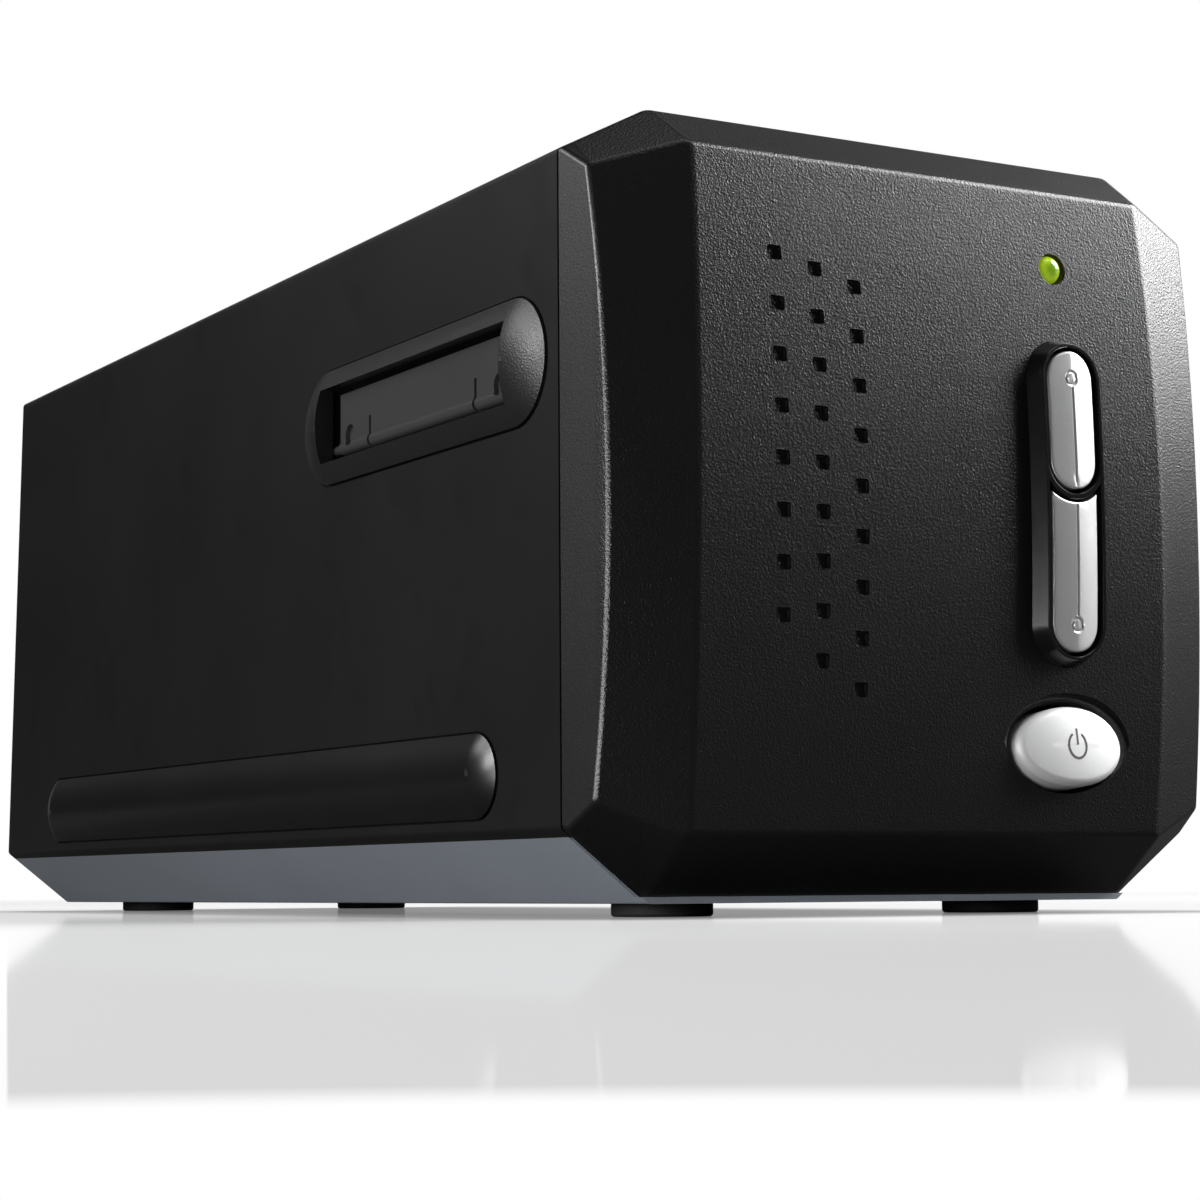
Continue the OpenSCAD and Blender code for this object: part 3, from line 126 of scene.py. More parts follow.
# ---------- Shader helpers ----------
class Value:
    """A socket in an expression: each operation adds its Math node."""

    def __init__(self, look, socket):
        self.look = look
        self.socket = socket

    def math(self, operation, *others, clamp=False):
        settings = {"operation": operation, "use_clamp": clamp}
        inputs = dict(enumerate((self,) + others))
        return self.look.node("Math", settings, inputs)

    def __add__(self, other): return self.math("ADD", other)
    def __radd__(self, other): return self.math("ADD", other)
    def __sub__(self, other): return self.math("SUBTRACT", other)
    def __rsub__(self, other): return self.look.value_of(other).math("SUBTRACT", self)
    def __mul__(self, other): return self.math("MULTIPLY", other)
    def __rmul__(self, other): return self.math("MULTIPLY", other)
    def __truediv__(self, other): return self.math("DIVIDE", other)
    def __pow__(self, other): return self.math("POWER", other)
    def __abs__(self): return self.math("ABSOLUTE")
    def clamp(self): return self.math("ADD", 0.0, clamp=True)
    def most(self, other): return self.math("MAXIMUM", other)

    def step(self, start, end):
        """0 where the value is at start, 1 at end, smooth in between."""
        return self.look.node(
            "MapRange", {"interpolation_type": "SMOOTHSTEP"},
            {"Value": self, "From Min": start, "From Max": end, "To Min": 0.0, "To Max": 1.0})


class Look:
    """The node tree of one finish."""

    def __init__(self, name, tree=None):
        if tree is None:
            self.material = bpy.data.materials.new(name)
            self.material.use_nodes = True
            tree = self.material.node_tree
        self.tree = tree
        self.shader = next((n for n in tree.nodes if n.type == "BSDF_PRINCIPLED"), None)
        self.coords = None

    def node(self, kind, settings=None, inputs=None, output=0):
        made = self.tree.nodes.new("ShaderNode" + kind)
        for key, setting in (settings or {}).items():
            setattr(made, key, setting)
        for key, given in (inputs or {}).items():
            self.feed(made.inputs[key], given)
        return Value(self, made.outputs[output])

    def feed(self, socket, given):
        if isinstance(given, Value):
            self.tree.links.new(given.socket, socket)
        else:
            socket.default_value = given

    def value_of(self, given):
        return self.node("Math", {"operation": "ADD"}, {0: float(given), 1: 0.0})

    def place(self):
        """Object coordinates, in metres."""
        if self.coords is None:
            self.coords = self.node("TexCoord", output=3)
        return self.coords

    def axes(self):
        split = self.tree.nodes.new("ShaderNodeSeparateXYZ")
        self.feed(split.inputs[0], self.place())
        return [Value(self, out) / MM for out in split.outputs]

    def stretched(self, scale):
        return self.node("Mapping", {}, {"Vector": self.place(), "Scale": scale})

    def noise(self, scale, detail=2.0, rough=0.5, along=None):
        where = self.place() if along is None else self.stretched(along)
        return self.node("TexNoise", {}, {"Vector": where, "Scale": scale, "Detail": detail,
                                          "Roughness": rough})

    def cells(self, scale, feature="F1", output="Distance"):
        inputs = {"Vector": self.place(), "Scale": scale, "Randomness": 1.0}
        made = self.node("TexVoronoi", {"feature": feature}, inputs)
        return Value(self, made.socket.node.outputs[output])

    def blend(self, share, low, high):
        """A colour between low and high."""
        return self.node("Mix", {"data_type": "RGBA"}, {0: share, 6: low, 7: high}, output=2)

    def bump(self, height, distance, strength):
        return self.node("Bump", {}, {"Height": height, "Distance": distance, "Strength": strength})

    def set(self, **sockets):
        for key, given in sockets.items():
            self.feed(self.shader.inputs[key.replace("_", " ")], given)
        return self


def away_from(x, y):
    """The length of a flat offset."""
    return (x * x + y * y) ** 0.5


def tone(r, g=None, b=None):
    """A colour, or a grey where one value is given."""
    return (r, r if g is None else g, r if b is None else b, 1.0)


# ---------- Finishes ----------
def grained_plastic(name, low, high, bump, rough, weak_from=None):
    """Moulding with a spark-eroded grain, weaker beyond a distance to either side if one is given."""
    look = Look(name)
    pebble = look.cells(3300.0, "SMOOTH_F1")
    fine = look.noise(3800.0, 2.0, 0.5)
    height = pebble * 0.9 + fine * 0.8
    relief = height
    if weak_from is not None:
        x, y, z = look.axes()
        relief = height * (1.0 - abs(x).step(weak_from, weak_from + GRAIN_FADE_W) * 0.8)
    broad = look.noise(45.0, 3.0, 0.55)
    look.set(
        Base_Color=look.blend((height * 0.6 + broad * 0.5).clamp(), low, high),
        Roughness=rough + (broad - 0.5) * 0.03 + (fine - 0.5) * 0.1,
        Normal=look.bump(relief, bump, 0.55))
    return look


def satin_plastic(name, low, high, rough):
    """Smooth moulding: a very fine texture, with faint broad changes of sheen."""
    look = Look(name)
    fine = look.noise(7000.0, 2.0, 0.55)
    broad = look.noise(28.0, 4.0, 0.6)
    handled = look.noise(110.0, 2.0, 0.5).step(0.52, 0.72)
    look.set(
        Base_Color=look.blend((broad * 0.7 + fine * 0.3).clamp(), low, high),
        Roughness=rough + (broad - 0.5) * 0.07 - handled * 0.02 + (fine - 0.5) * 0.05,
        Normal=look.bump(fine, 0.000012, 0.5),
        Specular_IOR_Level=0.5)
    return look


def cover_plastic():
    """The cover's satin moulding, polished a little along its long edges."""
    look = satin_plastic("cover_satin_black", tone(0.003), tone(0.006), rough=0.37)
    x, y, z = look.axes()
    worn = 0.0
    for edge_x, edge_z in ((HALF_W, SIDE_TOP_Z), (HALF_W - ROOF_CUT_W, ROOF_Z)):
        near = away_from(abs(x) - edge_x, z - edge_z)
        worn = (1.0 - near.step(0.4, 1.7)) + worn
    patch = look.noise(160.0, 3.0, 0.6).step(0.38, 0.66)
    worn = (worn * patch).clamp()
    base = look.shader.inputs["Base Color"].links[0].from_socket
    rough = look.shader.inputs["Roughness"].links[0].from_socket
    look.set(Base_Color=look.blend(worn * 0.5, Value(look, base), tone(0.03)),
             Roughness=Value(look, rough) - worn * 0.09)
    return look


def lacquer(name):
    """Blue-grey metallic lacquer with fine flakes."""
    look = Look(name)
    flakes = look.cells(5200.0, "F1", "Color")
    sparkle = look.node("SeparateColor", {}, {0: flakes})
    broad = look.noise(35.0, 3.0, 0.5)
    look.set(
        Base_Color=look.blend((sparkle * 0.35 + broad * 0.5).clamp(),
                              tone(0.36, 0.40, 0.46), tone(0.54, 0.58, 0.65)),
        Metallic=0.45 + (sparkle - 0.5) * 0.1,
        Roughness=0.33 + (sparkle - 0.5) * 0.08 + (broad - 0.5) * 0.05,
        Normal=look.bump(sparkle, 0.000003, 0.3))
    return look


def brushed(name, low, high, along, rough, bump=0.000006):
    """Metal with fine brush lines."""
    look = Look(name)
    lines = look.noise(3800.0, 3.0, 0.65, along)
    broad = look.noise(180.0, 2.0, 0.5)
    look.set(
        Base_Color=look.blend((lines * 0.7 + broad * 0.3).clamp(), low, high),
        Metallic=1.0,
        Roughness=rough + (lines - 0.5) * 0.22 + (broad - 0.5) * 0.06,
        Normal=look.bump(lines, bump, 0.6))
    return look


def satin_plating(name, metal=0.75, rough=0.32):
    """Pearl-blasted plating: bright, with a very fine sparkle and faint rub marks."""
    look = Look(name)
    fine = look.noise(5200.0, 2.0, 0.6)
    broad = look.noise(120.0, 3.0, 0.5)
    look.set(
        Base_Color=look.blend((fine * 0.7 + broad * 0.3).clamp(), tone(0.80, 0.805, 0.81), tone(0.97)),
        Metallic=metal + (broad - 0.5) * 0.1,
        Roughness=rough + (fine - 0.5) * 0.16 + (broad - 0.5) * 0.06,
        Normal=look.bump(fine, 0.00001, 0.6))
    return look


def rubber(name, shade=0.012):
    """Matt black rubber with a little dust."""
    look = Look(name)
    fine = look.noise(3800.0, 3.0, 0.7)
    dust = look.noise(240.0, 4.0, 0.6).step(0.5, 0.8)
    look.set(
        Base_Color=look.blend(dust * 0.5, tone(shade), tone(shade * 2.6)),
        Roughness=0.72 + (fine - 0.5) * 0.2,
        Normal=look.bump(fine, 0.00003, 0.6),
        Specular_IOR_Level=0.35)
    return look


def circuit_board(name, low, high):
    """Solder mask over fine copper tracks."""
    look = Look(name)
    tracks = look.node("TexBrick", {"offset": 0.37, "squash": 1.6},
                       {"Vector": look.place(), "Scale": 260.0, "Mortar Size": 0.012,
                        "Color1": tone(0.0), "Color2": tone(0.25), "Mortar": tone(1.0)})
    fine = look.noise(900.0, 2.0, 0.5)
    look.set(
        Base_Color=look.blend((tracks * 0.6 + fine * 0.3).clamp(), low, high),
        Roughness=0.3 + fine * 0.12,
        Normal=look.bump(tracks, 0.00004, 0.5))
    return look


def opal(name):
    """Milky sheet that spreads light."""
    look = Look(name)
    fine = look.noise(1200.0, 2.0, 0.5)
    look.set(
        Base_Color=look.blend(fine, tone(0.78, 0.79, 0.76), tone(0.86, 0.86, 0.83)),
        Roughness=0.42 + fine * 0.1,
        Subsurface_Weight=0.2)
    return look


def light_pipe(name):
    """Clear yellow-green plastic, lit from behind: darker in its middle."""
    look = Look(name)
    x, y, z = look.axes()
    core = 1.0 - away_from(x - CONTROL_X, z - LIGHT_Z).step(0.5, 1.9)
    haze = look.noise(900.0, 3.0, 0.6)
    colour = look.blend((core * 0.8 + (haze - 0.5) * 0.5).clamp(),
                        tone(0.42, 0.62, 0.02), tone(0.10, 0.24, 0.01))
    look.set(Base_Color=colour, Roughness=0.10 + haze * 0.06, Emission_Color=colour)
    look.shader.inputs["Emission Strength"].default_value = 0.4
    look.shader.inputs["Coat Weight"].default_value = 0.6
    return look


def glass(name, tint):
    """Coated glass with a faint haze."""
    look = Look(name)
    haze = look.noise(300.0, 3.0, 0.6)
    look.set(
        Base_Color=look.blend(haze * 0.4, tint, tone(0.9, 0.95, 1.0)),
        Roughness=0.03 + haze * 0.05)
    look.shader.inputs["Transmission Weight"].default_value = 0.85
    look.shader.inputs["Coat Weight"].default_value = 0.5
    return look


FINISHES = {
    "panel": grained_plastic("panel_black_grain", tone(0.003), tone(0.006), bump=0.0001, rough=0.31,
                             weak_from=GRAIN_END_X),
    "surround": grained_plastic("surround_black_grain", tone(0.004), tone(0.008), bump=0.00008,
                                rough=0.36),
    "cover": cover_plastic(),
    "grip": satin_plastic("grip_satin_black", tone(0.003), tone(0.006), rough=0.3),
    "ring": satin_plastic("ring_gloss_black", tone(0.004), tone(0.007), rough=0.2),
    # The flap's grey is partly its own dark satin and partly painted light: its tone is raised to make
    # up for the weak lamps on that side
    "flap": satin_plastic("flap_satin_with_painted_light", tone(0.028), tone(0.04), rough=0.3),
    "tray": lacquer("tray_silver_lacquer"),
    "button": satin_plating("button_satin_plating"),
    "cap": satin_plating("cap_satin_plating", metal=0.3, rough=0.55),
    "foot": rubber("foot_rubber"),
    "belt": rubber("belt_rubber", 0.01),
    "inner_plastic": grained_plastic("inner_matt_grey", tone(0.02), tone(0.034), bump=0.00005,
                                     rough=0.6),
    "white_board": circuit_board("lamp_board_white", tone(0.62, 0.62, 0.60), tone(0.80, 0.80, 0.78)),
    "board": circuit_board("board_green", tone(0.008, 0.055, 0.022), tone(0.03, 0.14, 0.055)),
    "diffuser": opal("opal_sheet"),
    "rod": brushed("rod_ground_steel", tone(0.42), tone(0.66), (1.0, 0.05, 1.0), rough=0.22),
    "motor": brushed("motor_plated_can", tone(0.40), tone(0.60), (1.0, 1.0, 0.2), rough=0.34),
    "socket_metal": brushed("socket_tinned_shell", tone(0.44), tone(0.68), (1.0, 0.15, 1.0),
                            rough=0.3),
    "socket_plastic": satin_plastic("socket_black", tone(0.012), tone(0.02), rough=0.45),
    "ribbon": satin_plastic("ribbon_pale", tone(0.55, 0.54, 0.50), tone(0.68, 0.67, 0.63), rough=0.5),
    "mirror": brushed("front_silvered_mirror", tone(0.80, 0.84, 0.87), tone(0.86, 0.89, 0.92),
                      (1.0, 1.0, 1.0), rough=0.05, bump=0.0000005),
    "barrel": satin_plastic("barrel_anodised_black", tone(0.012), tone(0.02), rough=0.4),
    "lens": glass("coated_lens_glass", tone(0.62, 0.78, 0.86)),
    "brass": brushed("turned_brass", tone(0.50, 0.36, 0.14), tone(0.68, 0.50, 0.22), (1.0, 1.0, 4.0),
                     rough=0.26),
    "pulley": satin_plastic("pulley_acetal", tone(0.60, 0.58, 0.50), tone(0.72, 0.70, 0.62),
                            rough=0.45),
    "light": light_pipe("light_pipe"),
    "symbol": satin_plastic("symbol_grey", tone(0.10), tone(0.15), rough=0.4),
}


def dress(obj, finish):
    obj.data.materials.clear()
    obj.data.materials.append(FINISHES[finish].material)


for part in frame["record"]["subparts"]:
    dress(NODES[part["node"]], part["material_slot"])


def at(x, y, z):
    """A place given in millimetres."""
    return Vector((x, y, z)) * MM


def bow_at(z):
    """How far the bowed face lies behind its foremost line at a height."""
    return BOW_R - math.sqrt(BOW_R ** 2 - (z - FACE_MID_Z) ** 2)


# ---------- Modelling helpers ----------
def deselect():
    for obj in list(bpy.context.selected_objects):
        obj.select_set(False)


def choose(piece):
    deselect()
    piece.select_set(True)
    bpy.context.view_layer.objects.active = piece


def add(kind, name, **given):
    """Adds a primitive; its place and sizes are in metres."""
    deselect()
    getattr(bpy.ops.mesh, "primitive_" + kind + "_add")(**given)
    piece = bpy.context.object
    piece.name = name
    piece.data.name = name
    bpy.ops.object.transform_apply(location=True, rotation=True, scale=True)
    return piece


def add_block(name, low, high):
    """A box between two corners in millimetres."""
    low, high = Vector(low) * MM, Vector(high) * MM
    return add("cube", name, size=1.0, location=(low + high) / 2, scale=high - low)


def open_up(piece):
    """Takes a piece into edit mode with everything selected."""
    choose(piece)
    bpy.ops.object.mode_set(mode="EDIT")
    bpy.ops.mesh.select_mode(type="FACE")
    bpy.ops.mesh.select_all(action="SELECT")


def close_up():
    bpy.ops.object.mode_set(mode="OBJECT")


def pick(piece, kind, test):
    """Selects the faces or edges that pass a test; the piece is in edit mode."""
    bpy.ops.mesh.select_mode(type={"faces": "FACE", "edges": "EDGE"}[kind])
    bpy.ops.mesh.select_all(action="DESELECT")
    shape = bmesh.from_edit_mesh(piece.data)
    for element in getattr(shape, kind):
        if test(element):
            element.select_set(True)
    shape.select_flush_mode()
    bmesh.update_edit_mesh(piece.data)


def cut(point, normal):
    """Takes off what lies beyond a plane, and fills the cut."""
    bpy.ops.mesh.select_all(action="SELECT")
    bpy.ops.mesh.bisect(plane_co=Vector(point) * MM, plane_no=Vector(normal).normalized(), use_fill=True,
                        clear_outer=True, threshold=CUT_HAIR)


def score(piece, places, axis, test):
    """Divides the faces that pass a test by level planes across an axis."""
    normal = Vector([float(i == axis) for i in range(3)])
    for place in places:
        pick(piece, "faces", test)
        bpy.ops.mesh.bisect(plane_co=normal * place * MM, plane_no=normal, threshold=CUT_HAIR)


def modify(piece, kind, **settings):
    choose(piece)
    modifier = piece.modifiers.new(kind.lower(), kind)
    for key, given in settings.items():
        setattr(modifier, key, given)
    bpy.ops.object.modifier_apply(modifier=modifier.name)


def combine(piece, tool, operation="DIFFERENCE"):
    modify(piece, "BOOLEAN", object=tool, operation=operation, solver="EXACT")
    bpy.data.objects.remove(tool)


def join(pieces):
    choose(pieces[0])
    for piece in pieces[1:]:
        piece.select_set(True)
    bpy.ops.object.join()
    return pieces[0]


def copy_of(piece, name, move):
    """A copy with a mesh of its own, moved in millimetres."""
    made = piece.copy()
    made.data = piece.data.copy()
    made.name = name
    made.data.name = name
    bpy.context.scene.collection.objects.link(made)
    made.data.transform(Matrix.Translation(Vector(move) * MM))
    return made


def tidy(piece, gap=0.002):
    """Merges doubles and points the faces outwards."""
    open_up(piece)
    bpy.ops.mesh.remove_doubles(threshold=gap * MM)
    bpy.ops.mesh.normals_make_consistent(inside=False)
    close_up()


def smooth(piece, angle):
    """Smooth shading, with the edges above an angle in degrees kept sharp."""
    choose(piece)
    bpy.ops.object.shade_smooth_by_angle(angle=math.radians(angle))
    modify(piece, "WEIGHTED_NORMAL", keep_sharp=True, weight=50)


def reshape(piece, rule):
    """Moves every vertex by a rule on its place in millimetres."""
    for vertex in piece.data.vertices:
        vertex.co = Vector(rule(*(vertex.co / MM))) * MM
    piece.data.update()


def follow_bow(piece):
    reshape(piece, lambda x, y, z: (x, y + bow_at(z), z))


def outline(name, points, y):
    """A flat outline in X and Z, filled."""
    piece = add("circle", name, vertices=len(points), fill_type="NGON")
    for vertex, (x, z) in zip(piece.data.vertices, points):
        vertex.co = at(x, y, z)
    return piece


def loft(name, *levels):
    """A solid through outlines of equally many points; each level is its points and its y."""
    points, y = levels[0]
    piece = outline(name, points, y)
    open_up(piece)
    for next_points, next_y in levels[1:]:
        bpy.ops.mesh.extrude_region_move()
        shape = bmesh.from_edit_mesh(piece.data)
        for vertex in [v for v in shape.verts if v.select]:
            gaps = [(vertex.co - at(px, y, pz)).length_squared for px, pz in points]
            x, z = next_points[gaps.index(min(gaps))]
            vertex.co = at(x, next_y, z)
        bmesh.update_edit_mesh(piece.data)
        points, y = next_points, next_y
    close_up()
    tidy(piece)
    return piece


def arc(x, z, radius, start, end, steps):
    """Points of an arc, in degrees from +X towards +Z."""
    turns = [math.radians(start + (end - start) * i / steps) for i in range(steps + 1)]
    return [(x + radius * math.cos(t), z + radius * math.sin(t)) for t in turns]


def circle(radius, steps=48):
    return arc(0, 0, radius, 0, 360 - 360 / steps, steps - 1)


def oval(inward=0.0, steps=72):
    """The power button's outline, drawn in by a distance."""
    width, height = POWER_W - 2 * inward, POWER_H - 2 * inward
    return [(width / 2 * math.cos(math.tau * i / steps), height / 2 * math.sin(math.tau * i / steps))
            for i in range(steps)]


def straight(x, start, end, rows=12):
    """Points between the two ends of an upright line, without the ends."""
    return [(x, start + (end - start) * i / rows) for i in range(1, rows)]


def oblong(x, half, low, top, steps=24):
    """An upright oblong; low and top are the centres of its two ends."""
    return (arc(x, top, half, 0, 180, steps) + straight(x - half, top, low)
            + arc(x, low, half, 180, 360, steps) + straight(x + half, low, top))


def rounding(radius, steps=4):
    """Steps of a rounded edge: how far in, and how far down from the top."""
    turns = [math.radians(90 * i / steps) for i in range(steps + 1)]
    return [(radius * (1 - math.cos(t)), radius * (1 - math.sin(t))) for t in turns]


def finish(piece, body, slot, *nodes, angle=30):
    """Hands a finished piece to the frame in place of its nodes."""
    smooth(piece, angle)
    dress(piece, slot)
    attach(piece, body)
    if nodes:
        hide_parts(*nodes)
    return piece


# ---------- Front panel ----------
def drum(name, turn):
    """The large cylinder whose front is the bowed face or a bowed flank."""
    made = add("cylinder", name, vertices=720, radius=BOW_R * MM, depth=400 * MM,
               rotation=(0, math.radians(90), 0))
    made.data.transform(turn @ Matrix.Translation(at(0, BOW_R, 0)))
    return made


def panel_planes():
    """Planes that cut the panel's outer form from a block: a point and a normal each."""
    brow = Vector((HALF_W - ROOF_CUT_W, FRONT_Y + BROW_D, ROOF_Z))
    chin = Vector((HALF_W - BASE_CUT_W, FRONT_Y + CHIN_D, LIP_Z))
    spread = FACE_HALF_H * math.tan(FACE_TAPER)
    face_top = Vector((FACE_HALF_W - spread, FRONT_Y + FACE_BOW, FACE_TOP_Z))
    face_low = Vector((FACE_HALF_W + spread, FRONT_Y + FACE_BOW, FACE_LOW_Z))
    strip_x = HALF_W - STRIP_TAPER
    strip_top = Vector((strip_x, FRONT_Y + STRIP_D, SIDE_TOP_Z - STRIP_TOP_DROP))
    strip_low = Vector((strip_x, FRONT_Y + STRIP_D, SIDE_LOW_Z + STRIP_LOW_RISE))
    paired = [
        ((HALF_W, 0, SIDE_TOP_Z), (ROOF_CUT_H, 0, ROOF_CUT_W)),
        ((HALF_W, 0, SIDE_LOW_Z), (BASE_CUT_H, 0, -BASE_CUT_W)),
        ((HALF_W, SEAM_Y, 0), (SEAM_Y - FRONT_Y - STRIP_D, -STRIP_TAPER, 0)),
        (brow, (face_top - brow).cross(strip_top - brow)),
        (chin, (strip_low - chin).cross(face_low - chin)),
    ]
    planes = [(brow, (0, FACE_TOP_Z - ROOF_Z, BROW_D - FACE_BOW)),
              (chin, (0, LIP_Z - FACE_LOW_Z, FACE_BOW - CHIN_D))]
    for point, normal in paired:
        planes.append((point, normal))
        planes.append(((-point[0], point[1], point[2]), (-normal[0], normal[1], normal[2])))
    return planes


def dimple_cutter():
    """All dimples as one tool: square pockets with rounded corners."""
    half_w, half_h = DIMPLE_W / 2, DIMPLE_H / 2
    first = add_block("dimple_tool", (-half_w, -TOOL_OUT, -half_h), (half_w, 0.0, half_h))
    open_up(first)
    pick(first, "edges", lambda edge: abs((edge.verts[0].co - edge.verts[1].co).y) > MM)
    bpy.ops.mesh.bevel(offset=DIMPLE_CORNER * MM, segments=3, affect="EDGES")
    pick(first, "edges", lambda edge: all(abs(v.co.y) < HAIR for v in edge.verts))
    bpy.ops.mesh.bevel(offset=DIMPLE_FLOOR_ROUND * MM, segments=2, affect="EDGES")
    close_up()
    tools = []
    for x, drop, length, number in DIMPLE_COLUMNS:
        for i in range(number):
            z = FACE_TOP_Z - drop - length * i / (number - 1)
            place = (x, FRONT_Y + bow_at(z) + DIMPLE_DEEP, z)
            tools.append(copy_of(first, "dimple_tool", place))
    bpy.data.objects.remove(first)
    return join(tools)


def on_face(x, z):
    """The matrix that moves a shape from the origin to a place on the bowed face."""
    return Matrix.Translation(at(x, FRONT_Y + bow_at(z), z))


def power_place():
    """The power button's place: on the face, tilted with it."""
    return on_face(POWER_X, POWER_Z) @ Matrix.Rotation(-POWER_TILT, 4, "X")


def well_cutter():
    """The power button's opening, with a flared well around it: depths and margins."""
    flare = ((5.0, 0.75), (1.0, 0.75), (0.12, 1.5), (0.03, 1.65), (-0.03, 2.0), (-TOOL_OUT, 2.1))
    levels = [(oval(-grow), deep) for deep, grow in flare]
    tool = loft("well_tool", *levels)
    tool.data.transform(power_place())
    return tool


def light_cutter():
    """The status light's hole, eased at the face: depths and radii."""
    flare = ((8.0, 2.45), (0.15, 2.45), (0.02, 2.58), (-TOOL_OUT, 2.6))
    tool = loft("light_tool", *[(circle(radius), deep) for deep, radius in flare])
    tool.data.transform(on_face(CONTROL_X, LIGHT_Z))
    return tool


def ring_cutter():
    """The hole for the ring's neck."""
    shape = oblong(CONTROL_X, NECK_HALF + 0.05, RING_LOW_END, RING_TOP_END)
    return loft("ring_tool", (shape, FRONT_Y - TOOL_OUT), (shape, FRONT_Y + 8))


def front_panel():
    """The bowed panel: cut from a block, hollowed, then opened for the controls."""
    piece = add_block("panel_shell", (-HALF_W, FRONT_Y, LIP_Z), (HALF_W, SEAM_Y, ROOF_Z))
    open_up(piece)
    for point, normal in panel_planes():
        cut(point, normal)
    close_up()
    combine(piece, drum("face_drum", Matrix.Translation(at(0, FRONT_Y, FACE_MID_Z))), "INTERSECT")
    for side in (1, -1):
        turn = (Matrix.Translation(at(side * FACE_HALF_W, FRONT_Y, FACE_MID_Z))
                @ Matrix.Rotation(-side * FACE_TAPER, 4, "Y")
                @ Matrix.Rotation(side * FLANK_ANGLE, 4, "Z"))
        combine(piece, drum("flank_drum", turn), "INTERSECT")
    tidy(piece, 0.06)
    open_up(piece)
    seam = SEAM_Y * MM - HAIR
    pick(piece, "edges", lambda edge: edge.calc_face_angle(0.0) > math.radians(4)
         and min(v.co.y for v in edge.verts) < seam)
    bpy.ops.mesh.bevel(offset=PANEL_ROUND * MM, segments=4, affect="EDGES", clamp_overlap=False)
    pick(piece, "edges", lambda edge: edge.calc_face_angle(0.0) > math.radians(60)
         and all(v.co.y > seam for v in edge.verts))
    bpy.ops.mesh.bevel(offset=SEAM_ROUND * MM, segments=2, affect="EDGES", clamp_overlap=True)
    close_up()
    pocket = add_block("pocket_tool", (-POCKET_HALF_W, FRONT_Y + POCKET_D, POCKET_LOW_Z),
                       (POCKET_HALF_W, SEAM_Y + 1, POCKET_TOP_Z))
    tools = [pocket, dimple_cutter(), well_cutter(), light_cutter(), ring_cutter()]
    for tool in tools:
        combine(piece, tool)
    tidy(piece)
    return finish(piece, "housing", "panel", "front_panel")


# ---------- Ring, scan buttons, status light ----------
def button_ring():
    """A sloped collar with a thin rim, and the arched bar between the scan buttons."""
    section = [(RING_FOOT, RING_SINK), (RING_RIM + RING_EDGE, -RING_RAISE + RING_EDGE),
               (RING_RIM, -RING_RAISE), (RING_HOLE + RING_EDGE, -RING_RAISE),
               (RING_HOLE, -RING_RAISE + RING_EDGE), (RING_HOLE, RING_DEEP),
               (NECK_HALF, RING_DEEP), (NECK_HALF, RING_SINK), (RING_FOOT, RING_SINK)]
    levels = [(oblong(CONTROL_X, half, RING_LOW_END, RING_TOP_END), FRONT_Y + y) for half, y in section]
    ring = loft("scan_ring", *levels)
    open_up(ring)
    pick(ring, "faces", lambda face: len(face.verts) > 20)
    bpy.ops.mesh.delete(type="FACE")
    close_up()
    tidy(ring)
    levels = []
    for inward, down in rounding(BAR_ROUND, 3):
        outer = RING_HOLE + BAR_W - inward
        low = math.degrees(math.acos(BAR_REACH / outer))
        points = (arc(CONTROL_X, BAR_Z, outer, 180 + low, 360 - low, 32)
                  + [(CONTROL_X + BAR_REACH, BAR_Z)]
                  + arc(CONTROL_X, BAR_Z, RING_HOLE + inward, 360, 180, 32)
                  + [(CONTROL_X - BAR_REACH, BAR_Z)])
        levels.append((points, FRONT_Y - RING_RAISE + BAR_DROP + down))
    bar = loft("scan_bar", (levels[0][0], FRONT_Y + RING_DEEP), *levels)
    ring = join([ring, bar])
    follow_bow(ring)
    return finish(ring, "housing", "ring", "button_ring", angle=24)


def upper_outline(inward):
    """Round above and below."""
    return oblong(CONTROL_X, SCAN_HALF - inward, SCAN_SPLIT_Z + SCAN_HALF, RING_TOP_END)


def lower_outline(inward):
    """Round below, and hollowed above by the arched bar."""
    half = SCAN_HALF - inward
    curve = RING_HOLE + BAR_W + BAR_GAP + inward
    corner = math.degrees(math.acos(half / curve))
    top = BAR_Z - math.sqrt(curve ** 2 - half ** 2)
    return (arc(CONTROL_X, BAR_Z, curve, 360 - corner, 180 + corner, 24)
            + straight(CONTROL_X - half, top, RING_LOW_END)
            + arc(CONTROL_X, RING_LOW_END, half, 180, 360, 24)
            + straight(CONTROL_X + half, RING_LOW_END, top))


